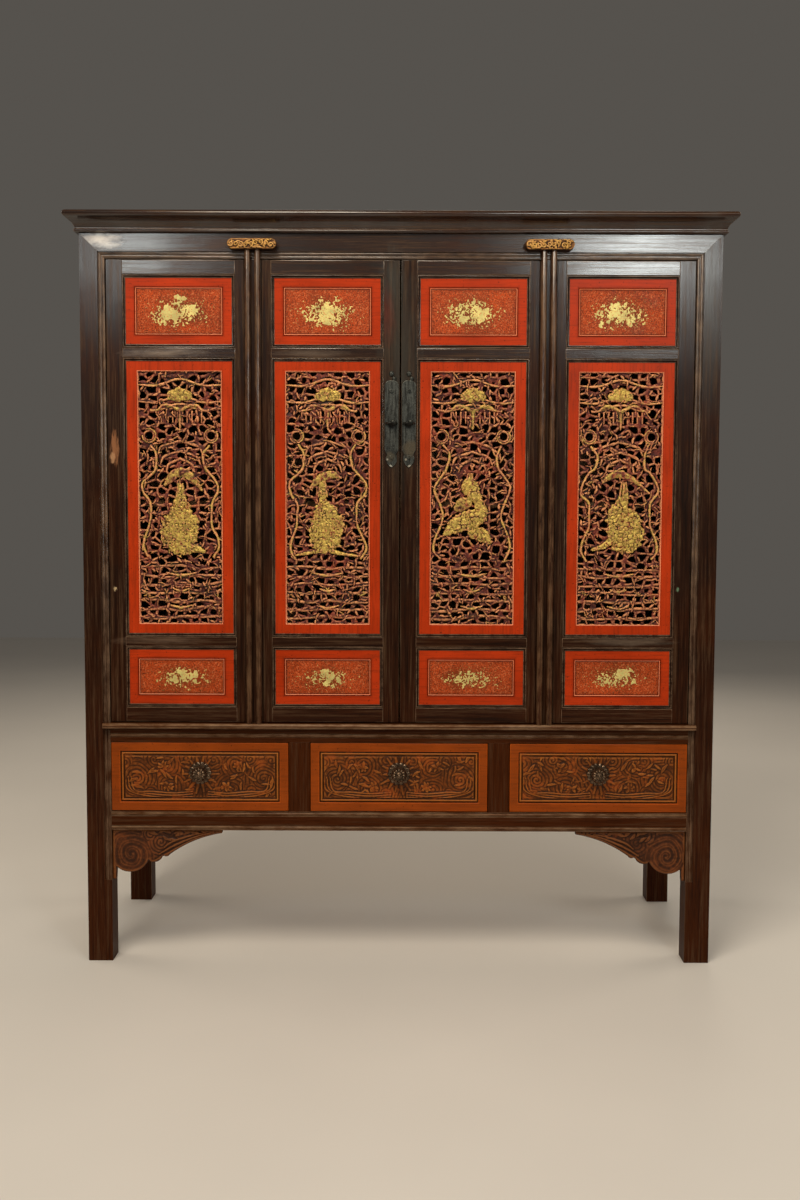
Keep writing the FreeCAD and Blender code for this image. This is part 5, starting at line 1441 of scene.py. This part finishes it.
def nail_heads():
    """A tree for hammered nail heads, domes that look to -Y."""
    work = Growth("Nail heads", {"Radius": 4.5 * MM, "Height": 0.6})
    size = work.add("FunctionNodeRandomValue", {2: 0.85, 3: 1.1, "Seed": 4},
                    data_type="FLOAT").outputs[1]
    dome = work.moved(work.ball(14, 10, work.inputs["Radius"]),
                      scale=work.vector(1.0, work.inputs["Height"], 1.0))
    return work.end(work.placed(dome, work.inputs["Geometry"], scale=size), "iron")


class CabinetOperator(bpy.types.Operator):
    """What the cabinet's operators share."""

    bl_options = {"REGISTER", "UNDO"}


class CABINET_OT_frame(CabinetOperator):
    """Posts, rails, dividers and the side frames, in worn lacquer with painted sheen and highlights"""

    bl_idname = "cabinet.frame"
    bl_label = "Frame"

    def execute(self, context):
        # The rail's beads take a lighter copy of the lacquer, as painted highlight lines
        rail = board("top_rail_front", ROOT, "black_lacquer", "polished lacquer", "rubbed black",
                     curved="bead lacquer")
        # The rods of the inner leaves swing close past the rail, so its front stands back a little
        front, set_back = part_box("top_rail_front")[0].y, 0.15 * MM
        for point in rail.data.vertices:
            if point.co.y < front + 0.1 * MM:
                point.co.y += set_back
        # The posts' beads take the same lighter copy, as painted highlight lines
        for node in ("post_front_left", "post_front_right"):
            board(node, ROOT, "black_lacquer", "post lacquer", "rubbed black", curved="bead lacquer")
        for node in ("post_rear_left", "post_rear_right", "mullions", "side_rails_left",
                     "side_rails_right", "side_panels_left", "side_panels_right"):
            board(node, ROOT, "black_lacquer", "black lacquer", "rubbed black")
        # The beads of these rails take the lighter edge finish, as painted highlight lines
        rail_edge = 1.8 * MM
        for node in ("waist_rail_front", "bottom_rail_front"):
            board(node, ROOT, "brown_lacquer", "brown lacquer", "rubbed brown", rail_edge, "rubbed brown")
        board("drawer_dividers", ROOT, "drawer_frame", "brown lacquer", "brown lacquer")
        return {"FINISHED"}


class CABINET_OT_cornice(CabinetOperator):
    """Moulded top frame and top panel"""

    bl_idname = "cabinet.cornice"
    bl_label = "Cornice"

    def execute(self, context):
        cornice_edge = 3.6 * MM
        for node in ("cornice_front", "cornice_sides", "cornice_rear"):
            board(node, ROOT, "black_lacquer", "polished lacquer", "rubbed black", cornice_edge)
        board("top_panel", ROOT, "inside_wood", "brown lacquer", "rubbed brown")
        return {"FINISHED"}


class CABINET_OT_inside(CabinetOperator):
    """Back, floor, shelf and drawer runners in bare timber"""

    bl_idname = "cabinet.inside"
    bl_label = "Inside and back"

    def execute(self, context):
        for node in ("back_rails", "back_panels", "cupboard_floor", "shelf", "shelf_battens",
                     "drawer_runners"):
            board(node, ROOT, "inside_wood", "bare timber", "bare timber")
        return {"FINISHED"}


class CABINET_OT_leaves(CabinetOperator):
    """Timber of the four door leaves, with their bead mouldings"""

    bl_idname = "cabinet.leaves"
    bl_label = "Door leaves"

    def execute(self, context):
        for door in DOORS:
            # The rods take a lighter copy of the lacquer, as painted highlight
            board(f"{door}_stiles", door, "black_lacquer", "black lacquer", "rubbed black",
                  curved="rod lacquer")
            board(f"{door}_rails", door, "black_lacquer", "polished lacquer", "rubbed black")
            red = board(f"{door}_fret_frame", door, "red_lacquer", "vermilion", "rubbed red", 1.6 * MM)
            low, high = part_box(f"{door}_fret_frame")
            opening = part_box(f"{door}_fretwork")
            border = (high.x - low.x - opening[1].x + opening[0].x) / 2
            add_frame(red.data, (low.x, low.z, high.x, high.z), border)
            panel_mouldings(door)
        return {"FINISHED"}


class CABINET_OT_panels(CabinetOperator):
    """Red panels with their painted flowers"""

    bl_idname = "cabinet.panels"
    bl_label = "Red panels"

    def execute(self, context):
        for number, door in enumerate(DOORS):
            low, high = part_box(f"{door}_panels")
            rows = leaf_rows(door)
            made = []
            for step, row in enumerate(("upper", "lower")):
                made.append(red_panel(door, row, rows[row], low.y, high.y))
                painted_flowers(door, number, row, rows[row], low.y + 1.2 * MM,
                                100 + number * 7 + step)
            for panel in made:
                settle(panel, door, "red_lacquer", f"{door}_panels")
        return {"FINISHED"}


class CABINET_OT_openwork(CabinetOperator):
    """Pierced and carved panels of the leaves"""

    bl_idname = "cabinet.openwork"
    bl_label = "Openwork"

    def execute(self, context):
        for number, door in enumerate(DOORS):
            openwork(door, number)
        return {"FINISHED"}


class CABINET_OT_locks(CabinetOperator):
    """Lock plates with their nails"""

    bl_idname = "cabinet.locks"
    bl_label = "Lock plates"

    def execute(self, context):
        heads = nail_heads()
        for side in SIDES:
            door = f"inner_{side}_door"
            board(f"lock_plate_{side}", door, "iron", "iron", "rubbed iron", 0.7 * MM)
            low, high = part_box(f"lock_plate_{side}")
            middle = (low.x + high.x) / 2
            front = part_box(f"{door}_rails")[0].y
            spots = [(middle, front - 0.5 * MM, high.z + 15 * MM),
                     (middle + 6 * MM, front - 0.5 * MM, high.z + 4 * MM),
                     (middle + 4 * MM, low.y + 2 * MM, (low.z + high.z) / 2 + 3 * MM)]
            nails = grown(f"lock_nails_{side}", spots, heads,
                          radius=context.scene.cabinet_hardware.nail * 1.3)
            settle(nails, door, "iron")
        return {"FINISHED"}


class CABINET_OT_drawers(CabinetOperator):
    """Drawer fronts, carved panels and boxes"""

    bl_idname = "cabinet.drawers"
    bl_label = "Drawers"

    def execute(self, context):
        for number, drawer in enumerate(DRAWERS):
            board(f"{drawer}_front", drawer, "drawer_frame", "drawer frame", "rubbed drawer", 1.6 * MM)
            board(f"{drawer}_box", drawer, "inside_wood", "bare timber", "bare timber")
            carved_drawer(drawer, number)
        return {"FINISHED"}


class CABINET_OT_knobs(CabinetOperator):
    """Ribbed bronze knobs on petalled plates"""

    bl_idname = "cabinet.knobs"
    bl_label = "Knobs"

    def execute(self, context):
        group = melon_knobs()
        hardware = context.scene.cabinet_hardware
        for drawer in DRAWERS:
            low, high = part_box(f"{drawer}_knob")
            plate = (high.x - low.x) / 2
            spot = ((low.x + high.x) / 2, high.y - 1.2 * MM, (low.z + high.z) / 2)
            knob = grown(f"{drawer}_melon_knob", [spot], group, ribs=hardware.knob_ribs,
                         petals=hardware.petals, plate=plate, head=plate * 0.7,
                         neck=plate * 0.33, reach=high.y - low.y - 1.4 * MM)
            settle(knob, drawer, "bronze", f"{drawer}_knob")
        return {"FINISHED"}


class CABINET_OT_carvings(CabinetOperator):
    """Corner brackets and the gilt lugs over the pivots"""

    bl_idname = "cabinet.carvings"
    bl_label = "Brackets and lugs"

    def execute(self, context):
        for side in SIDES:
            carved_bracket(side)
        carved_lugs()
        return {"FINISHED"}


class CABINET_OT_stage(CabinetOperator):
    """Pale floor, soft lights and the camera"""

    bl_idname = "cabinet.stage"
    bl_label = "Stage"

    def execute(self, context):
        side = context.scene.cabinet_hardware.floor_side / 2
        corners = [(-side, -side, 0), (side, -side, 0), (side, side, 0), (-side, side, 0)]
        shape_from("floor", corners, [(0, 1, 2, 3)], ("floor",))
        world = bpy.data.worlds.new("Studio")
        world.use_nodes = True
        sky = world.node_tree.nodes["Background"]
        sky.inputs["Color"].default_value = (0.92, 0.84, 0.74, 1)
        sky.inputs["Strength"].default_value = 0.1
        context.scene.world = world
        warm, white = (1.0, 0.86, 0.68), (0.96, 1.0, 0.97)
        for name, spot, target, size, power, tint in (
                ("key light", (-0.8, -2.3, 3.6), (0, 0, 0.9), 1.5, 88, warm),
                ("fill light", (1.6, -2.4, 3.0), (0, 0, 0.6), 1.5, 18, warm),
                ("left softbox", (-1.30, -3.3, 2.22), (-0.5, -0.25, 1.4), 0.55, 7, white),
                ("right softbox", (1.10, -3.3, 2.22), (0.5, -0.25, 1.4), 0.5, 17, white),
                ("left side light", (-3.4, 0.9, 2.0), (-0.7, 0.1, 0.9), 1.8, 26, warm),
                ("right side light", (3.4, 0.9, 2.0), (0.7, 0.1, 0.9), 1.8, 26, warm),
                ("back light", (0.5, 3.6, 3.0), (0, 0, 1.0), 2.5, 40, warm)):
            lamp = bpy.data.lights.new(name, "AREA")
            lamp.size = size
            lamp.energy = power
            lamp.color = tint
            aim = (Vector(target) - Vector(spot)).to_track_quat("-Z", "Y")
            link(name, lamp).matrix_world = Matrix.Translation(spot) @ aim.to_matrix().to_4x4()
        camera = bpy.data.cameras.new("camera")
        camera.sensor_fit = "VERTICAL"
        camera.sensor_height = 36
        camera.lens = FOCAL_LENGTH / PICTURE_HEIGHT * camera.sensor_height
        eye = link("camera", camera)
        place = (0.0076, -3.1835, 1.0549)
        down, left, roll = math.radians(4.2), math.radians(0.13), math.radians(0.2)
        eye.matrix_world = (Matrix.Translation(place) @ Matrix.Rotation(left, 4, "Z")
                            @ Matrix.Rotation(math.pi / 2 - down, 4, "X") @ Matrix.Rotation(roll, 4, "Z"))
        context.scene.camera = eye
        context.scene.view_settings.view_transform = "Standard"
        return {"FINISHED"}


OPERATORS = (CABINET_OT_stage, CABINET_OT_frame, CABINET_OT_cornice, CABINET_OT_inside,
             CABINET_OT_leaves, CABINET_OT_panels, CABINET_OT_openwork, CABINET_OT_locks,
             CABINET_OT_drawers, CABINET_OT_knobs, CABINET_OT_carvings)


class CABINET_PT_build(bpy.types.Panel):
    bl_idname = "CABINET_PT_build"
    bl_label = "Wedding Cabinet"
    bl_space_type = "VIEW_3D"
    bl_region_type = "UI"
    bl_category = "Cabinet"

    def draw(self, context):
        for operator in OPERATORS:
            self.layout.operator(operator.bl_idname)


GROUPS = {"cabinet_finish": FinishSettings, "cabinet_carving": CarvingSettings,
          "cabinet_hardware": HardwareSettings}


def register():
    for kind in (*GROUPS.values(), *OPERATORS, CABINET_PT_build):
        bpy.utils.register_class(kind)
    for name, kind in GROUPS.items():
        setattr(bpy.types.Scene, name, PointerProperty(type=kind))


def unregister():
    for name in GROUPS:
        delattr(bpy.types.Scene, name)
    for kind in reversed((*GROUPS.values(), *OPERATORS, CABINET_PT_build)):
        bpy.utils.unregister_class(kind)


def main():
    register()
    for operator in OPERATORS:
        group, name = operator.bl_idname.split(".")
        getattr(getattr(bpy.ops, group), name)()


if __name__ == "__main__":
    main()
